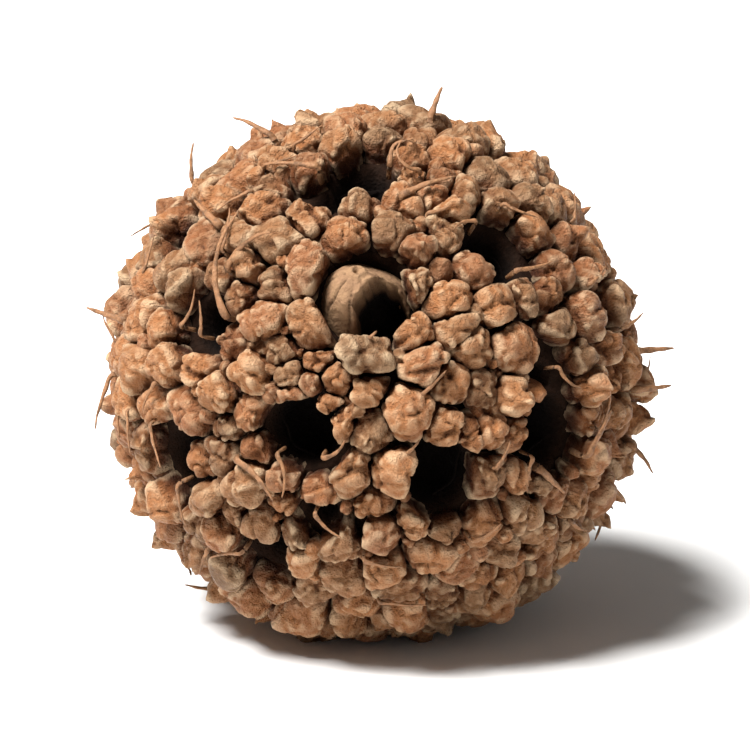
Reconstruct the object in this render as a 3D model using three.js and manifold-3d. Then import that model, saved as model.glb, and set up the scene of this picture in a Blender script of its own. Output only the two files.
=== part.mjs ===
// A dried sweetgum seed ball: one woody fruit head of fused capsules, covered in nodules.
// Millimetres, +Z up, with its best side towards -Y. The origin is the middle of the small flat spot
// that the ball rests on.
import * as THREE from "three";
import { ConvexHull } from "three/addons/math/ConvexHull.js";
import { mergeVertices } from "three/addons/utils/BufferGeometryUtils.js";
import Module from "manifold-3d";

// The ball, as distances from its centre.
const CROWN_RADIUS = 14.65;
const SHOULDER_RADIUS = 13.9;
const CREVICE_RADIUS = 12.6;
const MOUTH_EDGE_RADIUS = 13.1;
const REST_HEIGHT = 13.7; // tips lower than this are worn flat where the ball rests
const FACE_RADIUS = 13.8; // the sphere on which widths and distances are measured

// Capsules: how far apart they stand, which of them are open, and their pits.
const CAPSULE_SPACING = 6.6;
const CAPSULE_PLACES = 1200;
const CLOSED_CHANCE = 0.2;
const MOUTH = 1.3;
const MOUTH_SPREAD = 0.5;
const PIT_DEPTH = 2.4; // as a share of the mouth's radius
const PIT_SHARE = 0.8;

// Nodules: half of an ordinary one's width, and how much room a new one needs.
const NODULE_SIZE = 0.85;
const NODULE_SPREAD = 0.5;
const NODULE_PLACES = 4000;
const ROOM_IN_RING = 0.7;
const ROOM = 0.92;
const RING_SPACING = 2.3;
const RING_JITTER = 0.3;
const SHORTEST_EDGE = 0.42;
const REST_NODULE = 1.1; // the one at the very bottom, whose flat face the ball rests on

// Shape of a nodule: shares of its own width, and how far one differs from the next.
const SHOULDER_SHARE = 0.88;
const CROWN_SHARE = 0.56;
const LOW_CROWN_SHARE = 0.68;
const SHARE_SPREAD = 0.12;
const HEIGHT_SPREAD = 0.5;
const SIZE_LIFT = 0.5; // how much higher a nodule stands for each mm that it is wider
const LEAN = 0.3; // how much higher it stands on the side of its capsule
const SMALL = 0.8; // one that is smaller than this has no shoulder
const PEAKED_CHANCE = 0.4;
const PEAK_RISE = 0.45;

// The bud that still fills half of some capsules.
const FRONT_BUD = [-1.45, 4.75];
const BUD_EVERY = 4;
const BUD_OFFSET = 0.5;
const BUD_WIDTH = 1.3;
const BUD_HEIGHT = 1.7;
const BUD_RADIUS = 12.8;

// The dried styles that stay on the capsules as thin curved spines.
const SPINE_WIDTH = 0.44;
const SPINE_TAPER = 0.55;
const SPINE_POINTS = 6;
const SPINE_ROOT = 1.3; // how deep a spine starts below the crowns
const SPINE_BEND_AT = 1.04; // how far above its start it bends to run along the surface
const SPINE_DROOP = 0.6; // how much of its lift a spine loses along its length
const SPINES_BEHIND = 12;
const SPINE_TURN = 80;
const SPINE_LIFT = [12, 25]; // the least, and how much more at most
const SPINE_LENGTH = [2, 2];
const SPINE_REACH = 4;
const LOWEST_GROWTH = -0.75; // buds and spines keep away from the rest spot

// The stub of the broken stalk: its azimuth and elevation, and its radii from the root outwards.
const STALK_AT = [165, -22];
const STALK_RADII = [1.3, 1.3, 1.05, 0.95];
const STALK_ALONG = [10, CREVICE_RADIUS, CROWN_RADIUS, 16.9];
const STALK_SIDES = 9;

const PLACING_SEED = 4217;
const SHAPING_SEED = 88;
const SPINE_SEED = 903;
const VIEW_ELEVATION = 15;
const BROWN = "#8a6844";

// What shows from the front is placed by eye: mm to the right of the ball's middle and above it, as
// seen by a viewer whose eye is raised by VIEW_ELEVATION, then a size.
// Mouths of the open capsules, with each one's radius.
const FRONT_MOUTHS = [
  [-0.3, 4.5, 2.1], [-4.2, -3.3, 1.7], [3.7, -6.1, 1.75], [10.1, -3.5, 1.8], [7.1, 7.2, 1.5],
  [-9.8, 3.1, 1.3], [-0.8, 11.8, 1.4], [-2.8, 10.6, 0.7], [-11.4, 7.9, 1.0], [-11.4, -5.2, 1.5],
  [-6.3, -10.4, 1.2], [-3.2, -8.3, 0.7], [10.1, 0, 0.55], [12.7, 4.2, 0.7],
];

// Nodules, with half of each one's width.
const FRONT_NODULES = [
  [-4.2, 13, 1], [-1.5, 13.7, 0.9], [0.6, 13.5, 1], [2.6, 13.5, 1], [4.3, 12.5, 0.9], [-6.9, 12.6, 0.8],
  [-5.4, 12, 0.8], [6.4, 11.5, 1.1], [-7.8, 11, 0.9], [-5.8, 10.6, 0.7], [-9.7, 10.5, 0.8],
  [2.1, 11.2, 0.7], [3.6, 10.9, 0.6], [-1.1, 9.6, 0.85], [1.7, 9.6, 0.6], [3.3, 9.9, 0.7],
  [5.2, 10.2, 0.8], [4.2, 9.1, 0.7], [8.8, 9.7, 0.8], [-3.9, 9, 1], [-6.4, 9.3, 1.1], [-8.9, 9.6, 0.9],
  [-7.5, 8, 0.8], [-5.5, 7.6, 1.1], [-1.5, 7.7, 1.1], [1, 7.9, 1], [2.2, 7, 1], [4.1, 7.7, 0.9],
  [9, 8.2, 1.1], [11.2, 7.5, 0.9], [12.4, 6.9, 0.8], [-9.7, 7.4, 0.9], [-12.4, 6.8, 0.8], [-11, 6.2, 1],
  [-7.1, 6.1, 0.6], [-5.7, 5, 0.9], [-3.7, 5.6, 1.2], [2.1, 5.3, 0.95], [3.6, 5.8, 0.55],
  [5.6, 6, 1.2], [9.9, 6.4, 0.8], [12, 5.6, 0.9], [-10.9, 4.9, 1], [4.1, 4.1, 1.05], [6.8, 4, 1],
  [8.3, 4.8, 0.7], [9.7, 4.5, 0.8], [-7.7, 4.5, 0.6], [-6.2, 3.1, 1.1], [-3.4, 2.8, 1.4],
  [4.5, 2.7, 0.8], [-12.9, 3, 0.9], [2, 2.2, 0.95], [10.5, 2.6, 0.9], [12.1, 3, 0.7], [-8, 1.9, 0.75],
  [-0.5, 1.4, 1.4], [5.5, 1.5, 0.8], [7.9, 1.5, 1.3], [2.7, 0.6, 1], [-5.4, 1.4, 0.8], [13, 1.8, 0.8],
  [-3.2, 0.8, 0.65], [11.4, 0.9, 0.8], [-6.9, 0, 1.1], [-4.8, 0, 0.6], [-9.8, 0.5, 0.8],
  [-11.6, 0.9, 0.8], [-13.2, 0.5, 1], [-3.5, -0.4, 0.5], [-2.2, -0.3, 0.8], [-0.4, -0.8, 0.8],
  [4.3, -0.5, 1], [6, -0.8, 0.8], [7.6, -1.2, 0.8], [9, -0.9, 0.6], [13.5, -0.2, 0.8],
  [12, -0.9, 0.7], [1.8, -2.1, 1.3], [-0.1, -3, 1], [-1.8, -2.6, 0.6], [-2.6, -1.6, 0.5],
  [-4.6, -1.3, 0.6], [-7, -1.9, 0.9], [-8.7, -1.2, 0.9], [-10.4, -1.9, 1], [-12.4, -1.8, 0.9],
  [3.9, -2.8, 0.9], [5.3, -3.2, 0.6], [6.6, -3.1, 0.8], [8.1, -3.5, 1], [12.4, -2.4, 0.8],
  [-8.5, -3, 0.6], [-8.5, -4.5, 0.85], [-9.7, -5.3, 0.7], [-6.7, -4.3, 0.55], [-1.5, -5.4, 1],
  [1.2, -5.5, 1.2], [12.2, -4.6, 0.8], [-13.2, -4.2, 0.9], [9.3, -5.9, 0.7], [-7.1, -5.9, 1.1],
  [-5.1, -5.9, 0.7], [-5.3, -7.2, 0.5], [-3.4, -6.5, 0.7], [-9.3, -6.7, 0.9], [6.1, -6, 1.1],
  [8.1, -5.3, 0.7], [0.4, -7.3, 0.6], [11.2, -6.8, 0.8], [-12.8, -7, 0.7], [-8.1, -7.8, 0.7],
  [2, -8, 0.6], [0.2, -8.9, 1], [-1.9, -9.4, 0.8], [-4.7, -8.8, 0.7], [6, -8.3, 1], [8.4, -7.7, 0.9],
  [4.3, -8.6, 0.5], [-9.9, -8.7, 0.8], [-4.4, -10.2, 0.6], [0.4, -11, 0.8], [3.1, -10.2, 0.9],
  [7, -10, 0.9],
];

// Spines: where each one is rooted, then the way it runs (0 to the right, 90 up), how far it turns,
// how steeply it stands up, and its length.
const FRONT_SPINES = [
  [-8.4, 8.1, 137, -6, 12, 2.9], [-8, 3.2, 114, -68, 14, 5.9], [-7.9, 5.7, 45, -60, 18, 3.5],
  [-5.6, 13, 128, 0, 45, 2.7], [-3.1, 11.2, 155, 8, 12, 2.6], [-13.7, 3, 166, 0, 45, 2.8],
  [-10, 10.6, 112, 0, 55, 2.2], [1.4, 9.6, 34, -12, 14, 3.2], [-1.5, 0.8, 43, 0, 10, 2.2],
  [-14.4, 0, 265, 0, 25, 3.1], [-14, -1, 308, 8, 12, 2.5], [14.2, 1.3, 5, 0, 65, 2.4],
  [14.2, -0.8, 0, 0, 60, 2.3], [14, -3.8, 335, 0, 55, 2.2], [11.4, -4.4, 75, -10, 15, 2.9],
  [8.9, -5.1, 322, 0, 12, 2.2], [-7.4, -4.5, 345, -50, 15, 3.2], [3, 14, 75, 0, 65, 2.1],
];

// A repeatable stream of numbers from 0 to 1.
function numbersFrom(seed) {
  let state = seed;
  return () => {
    state = (state * 1664525 + 1013904223) % 4294967296;
    return state / 4294967296;
  };
}

function direction(azimuth, elevation) {
  const a = THREE.MathUtils.degToRad(azimuth);
  const e = THREE.MathUtils.degToRad(elevation);
  return new THREE.Vector3(Math.sin(a) * Math.cos(e), -Math.cos(a) * Math.cos(e), Math.sin(e));
}

const BOTTOM = direction(0, -90);
const TOWARDS_VIEWER = direction(0, VIEW_ELEVATION);
const VIEW_UP = direction(180, 90 - VIEW_ELEVATION);

// The direction, from the ball's centre, of a place on its crowns that shows at these mm.
function seen(right, up) {
  const near = Math.sqrt(Math.max(0, CROWN_RADIUS ** 2 - right ** 2 - up ** 2));
  const place = new THREE.Vector3(right, 0, 0);
  return place.addScaledVector(VIEW_UP, up).addScaledVector(TOWARDS_VIEWER, near).normalize();
}

// Evenly spread directions, along a spiral from the bottom of the ball to the top.
function spiral(count) {
  const turn = Math.PI * (3 - Math.sqrt(5));
  return Array.from({ length: count }, (_, i) => {
    const z = (2 * i + 1) / count - 1;
    const r = Math.sqrt(1 - z * z);
    return new THREE.Vector3(r * Math.cos(i * turn), r * Math.sin(i * turn), z);
  });
}

function tangents(normal) {
  const pole = Math.abs(normal.z) < 0.9 ? new THREE.Vector3(0, 0, 1) : new THREE.Vector3(1, 0, 0);
  const east = new THREE.Vector3().crossVectors(pole, normal).normalize();
  return [east, new THREE.Vector3().crossVectors(normal, east)];
}

// The direction at a distance in mm from another one, along a heading within the surface.
function moved(from, heading, distance) {
  const [east, north] = tangents(from);
  const along = east.multiplyScalar(Math.cos(heading)).addScaledVector(north, Math.sin(heading));
  const angle = distance / FACE_RADIUS;
  return from.clone().multiplyScalar(Math.cos(angle)).addScaledVector(along, Math.sin(angle));
}

function apart(a, b) {
  return FACE_RADIUS * 2 * Math.asin(Math.min(1, a.distanceTo(b) / 2));
}

function roomAt(place, taken) {
  return Math.min(...taken.map((t) => apart(place, t.at) - t.size));
}

// Grows a new one at the place with the most room, again and again, until no place has enough.
function fill(places, taken, enough, grow) {
  const room = places.map((p) => roomAt(p, taken));
  for (;;) {
    const best = room.reduce((top, value, i) => (value > room[top] ? i : top), 0);
    if (room[best] < enough) return;
    const made = grow(places[best]);
    places.forEach((p, i) => {
      room[i] = Math.min(room[i], apart(p, made.at) - made.size);
    });
  }
}

// A capsule with a mouth of 0 is still shut. Those that no mouth shows from the front are shut there.
function placeCapsules(stalk, random) {
  const capsules = FRONT_MOUTHS.map(([right, up, mouth]) => ({ at: seen(right, up), mouth, front: true }));
  const taken = [stalk, BOTTOM, ...capsules.map((c) => c.at)].map((at) => ({ at, size: 0 }));
  fill(spiral(CAPSULE_PLACES), taken, CAPSULE_SPACING, (at) => {
    const shut = random() < CLOSED_CHANCE || at.dot(TOWARDS_VIEWER) > 0;
    capsules.push({ at, mouth: shut ? 0 : MOUTH + MOUTH_SPREAD * random(), front: false });
    return { at, size: 0 };
  });
  return capsules;
}

// Behind, nodules stand in a ring round each capsule, and then wherever there is room for one more.
function placeNodules(capsules, holes, random) {
  const nodules = FRONT_NODULES.map(([right, up, size]) => ({ at: seen(right, up), size }));
  nodules.push({ at: BOTTOM, size: REST_NODULE });
  const sized = (at) => ({ at, size: NODULE_SIZE + NODULE_SPREAD * (random() - 0.5) });
  for (const { at, mouth } of capsules.filter((c) => !c.front)) {
    const radius = mouth + NODULE_SIZE;
    const count = Math.round((2 * Math.PI * radius) / RING_SPACING);
    const start = random() * 2 * Math.PI;
    for (let i = 0; i < count; i++) {
      const heading = start + ((i + RING_JITTER * (random() - 0.5)) * 2 * Math.PI) / count;
      const made = sized(moved(at, heading, radius + RING_JITTER * random()));
      if (roomAt(made.at, [...holes, ...nodules]) > ROOM_IN_RING) nodules.push(made);
    }
  }
  fill(spiral(NODULE_PLACES), [...holes, ...nodules], ROOM, (at) => {
    const made = sized(at);
    nodules.push(made);
    return made;
  });
  return nodules;
}

// The corners between the sites, and each site's own corners in order round it. Moving a site
// outwards by its size gives a wide one a wide cell.
function cells(sites) {
  const points = sites.map(({ at, size }) => at.clone().divideScalar(Math.cos(size / FACE_RADIUS)));
  const index = new Map(points.map((p, i) => [p, i]));
  const corners = [];
  const round = sites.map(() => []);
  for (const face of new ConvexHull().setFromPoints(points).faces) {
    const [a, b, c] = [0, 1, 2].map((k) => face.getEdge(k).head().point);
    for (const p of [a, b, c]) round[index.get(p)].push(corners.length);
    corners.push(new THREE.Vector3().crossVectors(b.clone().sub(a), c.clone().sub(a)).normalize());
  }
  for (const ring of round) {
    const [east, north] = tangents(middle(corners, ring));
    const angle = (c) => Math.atan2(corners[c].dot(north), corners[c].dot(east));
    ring.sort((p, q) => angle(p) - angle(q));
  }
  return joinClose(corners, round);
}

// Corners closer together than the shortest edge become one.
function joinClose(corners, round) {
  const joined = corners.map((_, i) => i);
  const top = (i) => (joined[i] === i ? i : top(joined[i]));
  for (const ring of round) {
    ring.forEach((c, k) => {
      const next = ring[(k + 1) % ring.length];
      if (apart(corners[c], corners[next]) < SHORTEST_EDGE) joined[top(c)] = top(next);
    });
  }
  const sums = corners.map(() => new THREE.Vector3());
  corners.forEach((c, i) => sums[top(i)].add(c));
  sums.forEach((s) => s.normalize());
  const kept = round.map((ring) => ring.map(top).filter((c, k, all) => c !== all[(k + 1) % all.length]));
  return { corners: sums, round: kept };
}

function middle(corners, ring) {
  const sum = new THREE.Vector3();
  ring.forEach((c) => sum.add(corners[c]));
  return sum.normalize();
}

function between(a, b, share) {
  return a.clone().lerp(b, share).normalize();
}

// A surface that is collected triangle by triangle, about the ball's centre.
class Surface {
  constructor() {
    this.points = [];
    this.triangles = [];
  }

  at(place) {
    this.points.push(place);
    return this.points.length - 1;
  }

  point(dir, radius) {
    return this.at(dir.clone().setLength(radius));
  }

  band(outer, inner) {
    outer.forEach((a, i) => {
      const j = (i + 1) % outer.length;
      this.triangles.push([a, outer[j], inner[j]], [a, inner[j], inner[i]]);
    });
  }

  cap(ring, peak) {
    ring.forEach((a, i) => this.triangles.push([a, ring[(i + 1) % ring.length], peak]));
  }

  lid(ring) {
    for (let i = 1; i < ring.length - 1; i++) this.triangles.push([ring[0], ring[i], ring[i + 1]]);
  }

  geometry() {
    const flat = this.points.flatMap((p) => [p.x, p.y, Math.max(0, p.z + REST_HEIGHT)]);
    const made = new THREE.BufferGeometry();
    made.setAttribute("position", new THREE.Float32BufferAttribute(flat, 3));
    made.setIndex(this.triangles.flat());
    return made;
  }
}

// A nodule is a block with steep walls and a bevelled crown, which leans towards its capsule.
function raiseNodule(surface, corners, ring, foot, size, capsule, random) {
  const centre = middle(corners, ring);
  const towards = capsule.clone().sub(centre);
  towards.addScaledVector(centre, -towards.dot(centre)).normalize();
  const spread = (range) => range * (random() - 0.5);
  const lift = SIZE_LIFT * (size - NODULE_SIZE);
  const tier = (share, radius) =>
    ring.map((c) => {
      const lean = corners[c].clone().sub(centre).normalize().dot(towards);
      return surface.point(
        between(centre, corners[c], share + spread(SHARE_SPREAD)),
        radius + lift + LEAN * lean + spread(HEIGHT_SPREAD),
      );
    });
  let crown;
  if (size < SMALL) {
    crown = tier(LOW_CROWN_SHARE, CROWN_RADIUS);
    surface.band(foot, crown);
  } else {
    const shoulder = tier(SHOULDER_SHARE, SHOULDER_RADIUS);
    crown = tier(CROWN_SHARE, CROWN_RADIUS);
    surface.band(foot, shoulder);
    surface.band(shoulder, crown);
  }
  if (random() < PEAKED_CHANCE) {
    surface.cap(crown, surface.point(centre, CROWN_RADIUS + lift + PEAK_RISE * (1 + random())));
  } else {
    surface.lid(crown);
  }
}

function sinkHole(surface, corners, ring, foot, hole) {
  const floor = ring.map((c) => surface.point(between(hole.at, corners[c], PIT_SHARE), hole.floor));
  surface.band(foot, floor);
  surface.lid(floor);
}

function makeHead(capsules, holes, nodules, random) {
  const { corners, round } = cells([...holes, ...nodules]);
  const surface = new Surface();
  const atMouth = new Set(round.slice(0, holes.length).flat());
  const feet = corners.map((c, i) => surface.point(c, atMouth.has(i) ? MOUTH_EDGE_RADIUS : CREVICE_RADIUS));
  round.forEach((ring, i) => {
    const foot = ring.map((c) => feet[c]);
    if (i < holes.length) {
      sinkHole(surface, corners, ring, foot, holes[i]);
      return;
    }
    const { at, size } = nodules[i - holes.length];
    const capsule = capsules.reduce((best, c) => (apart(c.at, at) < apart(best.at, at) ? c : best));
    raiseNodule(surface, corners, ring, foot, size, capsule.at, random);
  });
  return surface.geometry();
}

// A round bar along a line of points, with its ends closed; radii gives its radius at each point.
function bar(points, radii, sides) {
  const surface = new Surface();
  const rings = points.map((p, i) => {
    const along = points[Math.min(i + 1, points.length - 1)].clone().sub(points[Math.max(i - 1, 0)]);
    const [east, north] = tangents(along.normalize());
    return Array.from({ length: sides }, (_, k) => {
      const turn = (-2 * Math.PI * k) / sides;
      const out = east.clone().multiplyScalar(Math.cos(turn)).addScaledVector(north, Math.sin(turn));
      return surface.at(p.clone().addScaledVector(out, radii[i]));
    });
  });
  rings.slice(1).forEach((ring, i) => surface.band(ring, rings[i]));
  surface.lid(rings[0]);
  surface.lid(rings[rings.length - 1].toReversed());
  return surface.geometry();
}

// A spine starts among the nodules, stands up at its lift, and turns and lies over as it runs.
function makeSpine(root, aim, turn, lift, length) {
  const step = length / (SPINE_POINTS - 2);
  const point = root.clone().multiplyScalar(CROWN_RADIUS - SPINE_ROOT);
  const points = [point.clone()];
  point.addScaledVector(root, SPINE_BEND_AT);
  const way = aim.clone().addScaledVector(root, -aim.dot(root)).normalize();
  for (let i = 0; i < SPINE_POINTS - 1; i++) {
    points.push(point.clone());
    const up = point.clone().normalize();
    way.addScaledVector(up, -way.dot(up)).normalize();
    const stand = THREE.MathUtils.degToRad(lift * (1 - (SPINE_DROOP * i) / SPINE_POINTS));
    point.addScaledVector(way, step * Math.cos(stand)).addScaledVector(up, step * Math.sin(stand));
    way.applyAxisAngle(up, THREE.MathUtils.degToRad(turn / (SPINE_POINTS - 2)));
  }
  const radii = points.map((_, i) => (SPINE_WIDTH / 2) * (1 - (SPINE_TAPER * i) / (SPINE_POINTS - 1)));
  return bar(points, radii, 3);
}

function frontSpines() {
  return FRONT_SPINES.map(([right, up, heading, turn, lift, length]) => {
    const h = THREE.MathUtils.degToRad(heading);
    const aim = new THREE.Vector3(Math.cos(h), 0, 0).addScaledVector(VIEW_UP, Math.sin(h));
    return makeSpine(seen(right, up), aim, turn, lift, length);
  });
}

function openBehind(capsules) {
  return capsules.filter((c) => c.mouth && !c.front && c.at.z > LOWEST_GROWTH);
}

// Behind, the spines stand beside the mouths of capsules taken in turn.
function backSpines(capsules, random) {
  const behind = openBehind(capsules);
  return Array.from({ length: SPINES_BEHIND }, (_, i) => {
    const { at, mouth } = behind[i % behind.length];
    const heading = random() * 2 * Math.PI;
    const root = moved(at, heading, mouth + NODULE_SIZE);
    const aim = moved(at, heading + 1 + random(), mouth + SPINE_REACH).sub(root);
    const turn = SPINE_TURN * (random() - 0.5);
    const lift = SPINE_LIFT[0] + SPINE_LIFT[1] * random();
    return makeSpine(root, aim, turn, lift, SPINE_LENGTH[0] + SPINE_LENGTH[1] * random());
  });
}

function makeBud(seat) {
  const dome = new THREE.IcosahedronGeometry(1, 1);
  dome.scale(BUD_WIDTH, BUD_WIDTH, BUD_HEIGHT);
  dome.applyQuaternion(new THREE.Quaternion().setFromUnitVectors(new THREE.Vector3(0, 0, 1), seat));
  dome.translate(...seat.clone().multiplyScalar(BUD_RADIUS).add(new THREE.Vector3(0, 0, REST_HEIGHT)));
  return dome;
}

function makeBuds(capsules) {
  const chosen = openBehind(capsules).filter((_, i) => i % BUD_EVERY === 0);
  return [seen(...FRONT_BUD), ...chosen.map((c) => moved(c.at, 0, BUD_OFFSET * c.mouth))].map(makeBud);
}

function makeStalk(stalk) {
  return bar(STALK_ALONG.map((r) => stalk.clone().multiplyScalar(r)), STALK_RADII, STALK_SIDES);
}

const wasm = await Module();
wasm.setup();

function solid(geometry) {
  geometry.deleteAttribute("normal");
  geometry.deleteAttribute("uv");
  const merged = mergeVertices(geometry, 1e-4);
  return new wasm.Manifold(
    new wasm.Mesh({
      numProp: 3,
      vertProperties: merged.attributes.position.array,
      triVerts: new Uint32Array(merged.index.array),
    }),
  );
}

function geometryOf(made) {
  const mesh = made.getMesh();
  const geometry = new THREE.BufferGeometry();
  geometry.setAttribute("position", new THREE.BufferAttribute(mesh.vertProperties, 3));
  geometry.setIndex(new THREE.BufferAttribute(mesh.triVerts, 1));
  geometry.computeVertexNormals();
  return geometry;
}

const placing = numbersFrom(PLACING_SEED);
const stalk = direction(...STALK_AT);
const capsules = placeCapsules(stalk, placing);
const pits = capsules
  .filter((c) => c.mouth)
  .map(({ at, mouth }) => ({ at, size: mouth, floor: MOUTH_EDGE_RADIUS - PIT_DEPTH * mouth }));
const holes = [...pits, { at: stalk, size: STALK_RADII[0], floor: CREVICE_RADIUS }];
const nodules = placeNodules(capsules, holes, placing);
const grown = [
  makeHead(capsules, holes, nodules, numbersFrom(SHAPING_SEED)),
  ...makeBuds(capsules),
  ...frontSpines(),
  ...backSpines(capsules, numbersFrom(SPINE_SEED)),
  makeStalk(stalk),
];
const ball = new THREE.Mesh(
  geometryOf(grown.map(solid).reduce((whole, piece) => whole.add(piece))),
  new THREE.MeshStandardMaterial({ color: BROWN, roughness: 0.85, metalness: 0 }),
);
ball.name = "seed_ball";

const part = new THREE.Group();
part.add(ball);

export default part;
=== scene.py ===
import functools
import itertools
import math

import bmesh
import bpy
import numpy as np
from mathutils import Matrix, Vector


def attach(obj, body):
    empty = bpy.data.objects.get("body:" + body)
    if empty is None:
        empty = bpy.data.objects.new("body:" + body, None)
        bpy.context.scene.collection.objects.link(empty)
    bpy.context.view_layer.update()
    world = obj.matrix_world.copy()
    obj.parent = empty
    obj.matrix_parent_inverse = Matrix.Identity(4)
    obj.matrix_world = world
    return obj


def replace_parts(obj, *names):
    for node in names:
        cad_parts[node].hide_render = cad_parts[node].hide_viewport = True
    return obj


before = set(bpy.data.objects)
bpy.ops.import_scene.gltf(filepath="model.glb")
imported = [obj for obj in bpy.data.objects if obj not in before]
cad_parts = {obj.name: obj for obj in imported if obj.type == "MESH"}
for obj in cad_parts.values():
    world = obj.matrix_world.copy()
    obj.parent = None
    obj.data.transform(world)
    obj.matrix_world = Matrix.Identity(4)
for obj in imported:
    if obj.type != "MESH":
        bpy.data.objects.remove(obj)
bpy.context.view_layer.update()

bl_info = {
    "name": "Sweetgum Seed Ball",
    "version": (1, 0, 0),
    "blender": (4, 5, 0),
    "location": "3D View > Sidebar > Seed Ball",
    "description": "Grows a dried sweetgum seed ball: nodules, pits, styles, buds and a stalk stub",
    "category": "Add Mesh",
}

MM = 0.001
NODE = "seed_ball"

# The ball as the frame has it: mm from its centre, which stands REST_HEIGHT above the origin.
CROWN_RADIUS = 14.65
CREVICE_RADIUS = 12.6
MOUTH_EDGE_RADIUS = 13.1
REST_HEIGHT = 13.7
FACE_RADIUS = 13.8

# Where capsules and nodules stand: the rule that the frame follows, with the same draws.
CAPSULE_SPACING = 6.6
CAPSULE_PLACES = 1200
CLOSED_CHANCE = 0.2
MOUTH = 1.3
MOUTH_SPREAD = 0.5
PIT_DEPTH = 2.4
NODULE_SIZE = 0.85
NODULE_SPREAD = 0.5
NODULE_PLACES = 4000
ROOM_IN_RING = 0.7
ROOM = 0.92
RING_SPACING = 2.3
RING_JITTER = 0.3
REST_NODULE = 1.1
SIZE_LIFT = 0.5

FRONT_BUD = (-1.45, 4.75)
BUD_EVERY = 4
BUD_OFFSET = 0.5
BUD_WIDTH = 1.3
BUD_HEIGHT = 1.7
BUD_RADIUS = 12.8

SPINE_POINTS = 6
SPINE_ROOT = 1.3
SPINE_BEND_AT = 1.04
SPINE_DROOP = 0.6
SPINES_BEHIND = 12
SPINE_TURN = 80
SPINE_LIFT = (12, 25)
SPINE_LENGTH = (2, 2)
SPINE_REACH = 4
LOWEST_GROWTH = -0.75

STALK_AT = (165, -22)
STALK_RADII = (1.3, 1.3, 1.05, 0.95)
STALK_ALONG = (10, CREVICE_RADIUS, CROWN_RADIUS, 16.9)

PLACING_SEED = 4217
SPINE_SEED = 903
VIEW_ELEVATION = 15

# Listed one by one: mm to the right of the ball's middle and above it, for a viewer whose eye is raised
# by VIEW_ELEVATION, then a size. Mouths of the open capsules, with each one's radius.
FRONT_MOUTHS = [
    (-0.3, 4.5, 2.1), (-4.2, -3.3, 1.7), (3.7, -6.1, 1.75), (10.1, -3.5, 1.8), (7.1, 7.2, 1.5),
    (-9.8, 3.1, 1.3), (-0.8, 11.8, 1.4), (-2.8, 10.6, 0.7), (-11.4, 7.9, 1.0), (-11.4, -5.2, 1.5),
    (-6.3, -10.4, 1.2), (-3.2, -8.3, 0.7), (10.1, 0, 0.55), (12.7, 4.2, 0.7),
]

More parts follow.
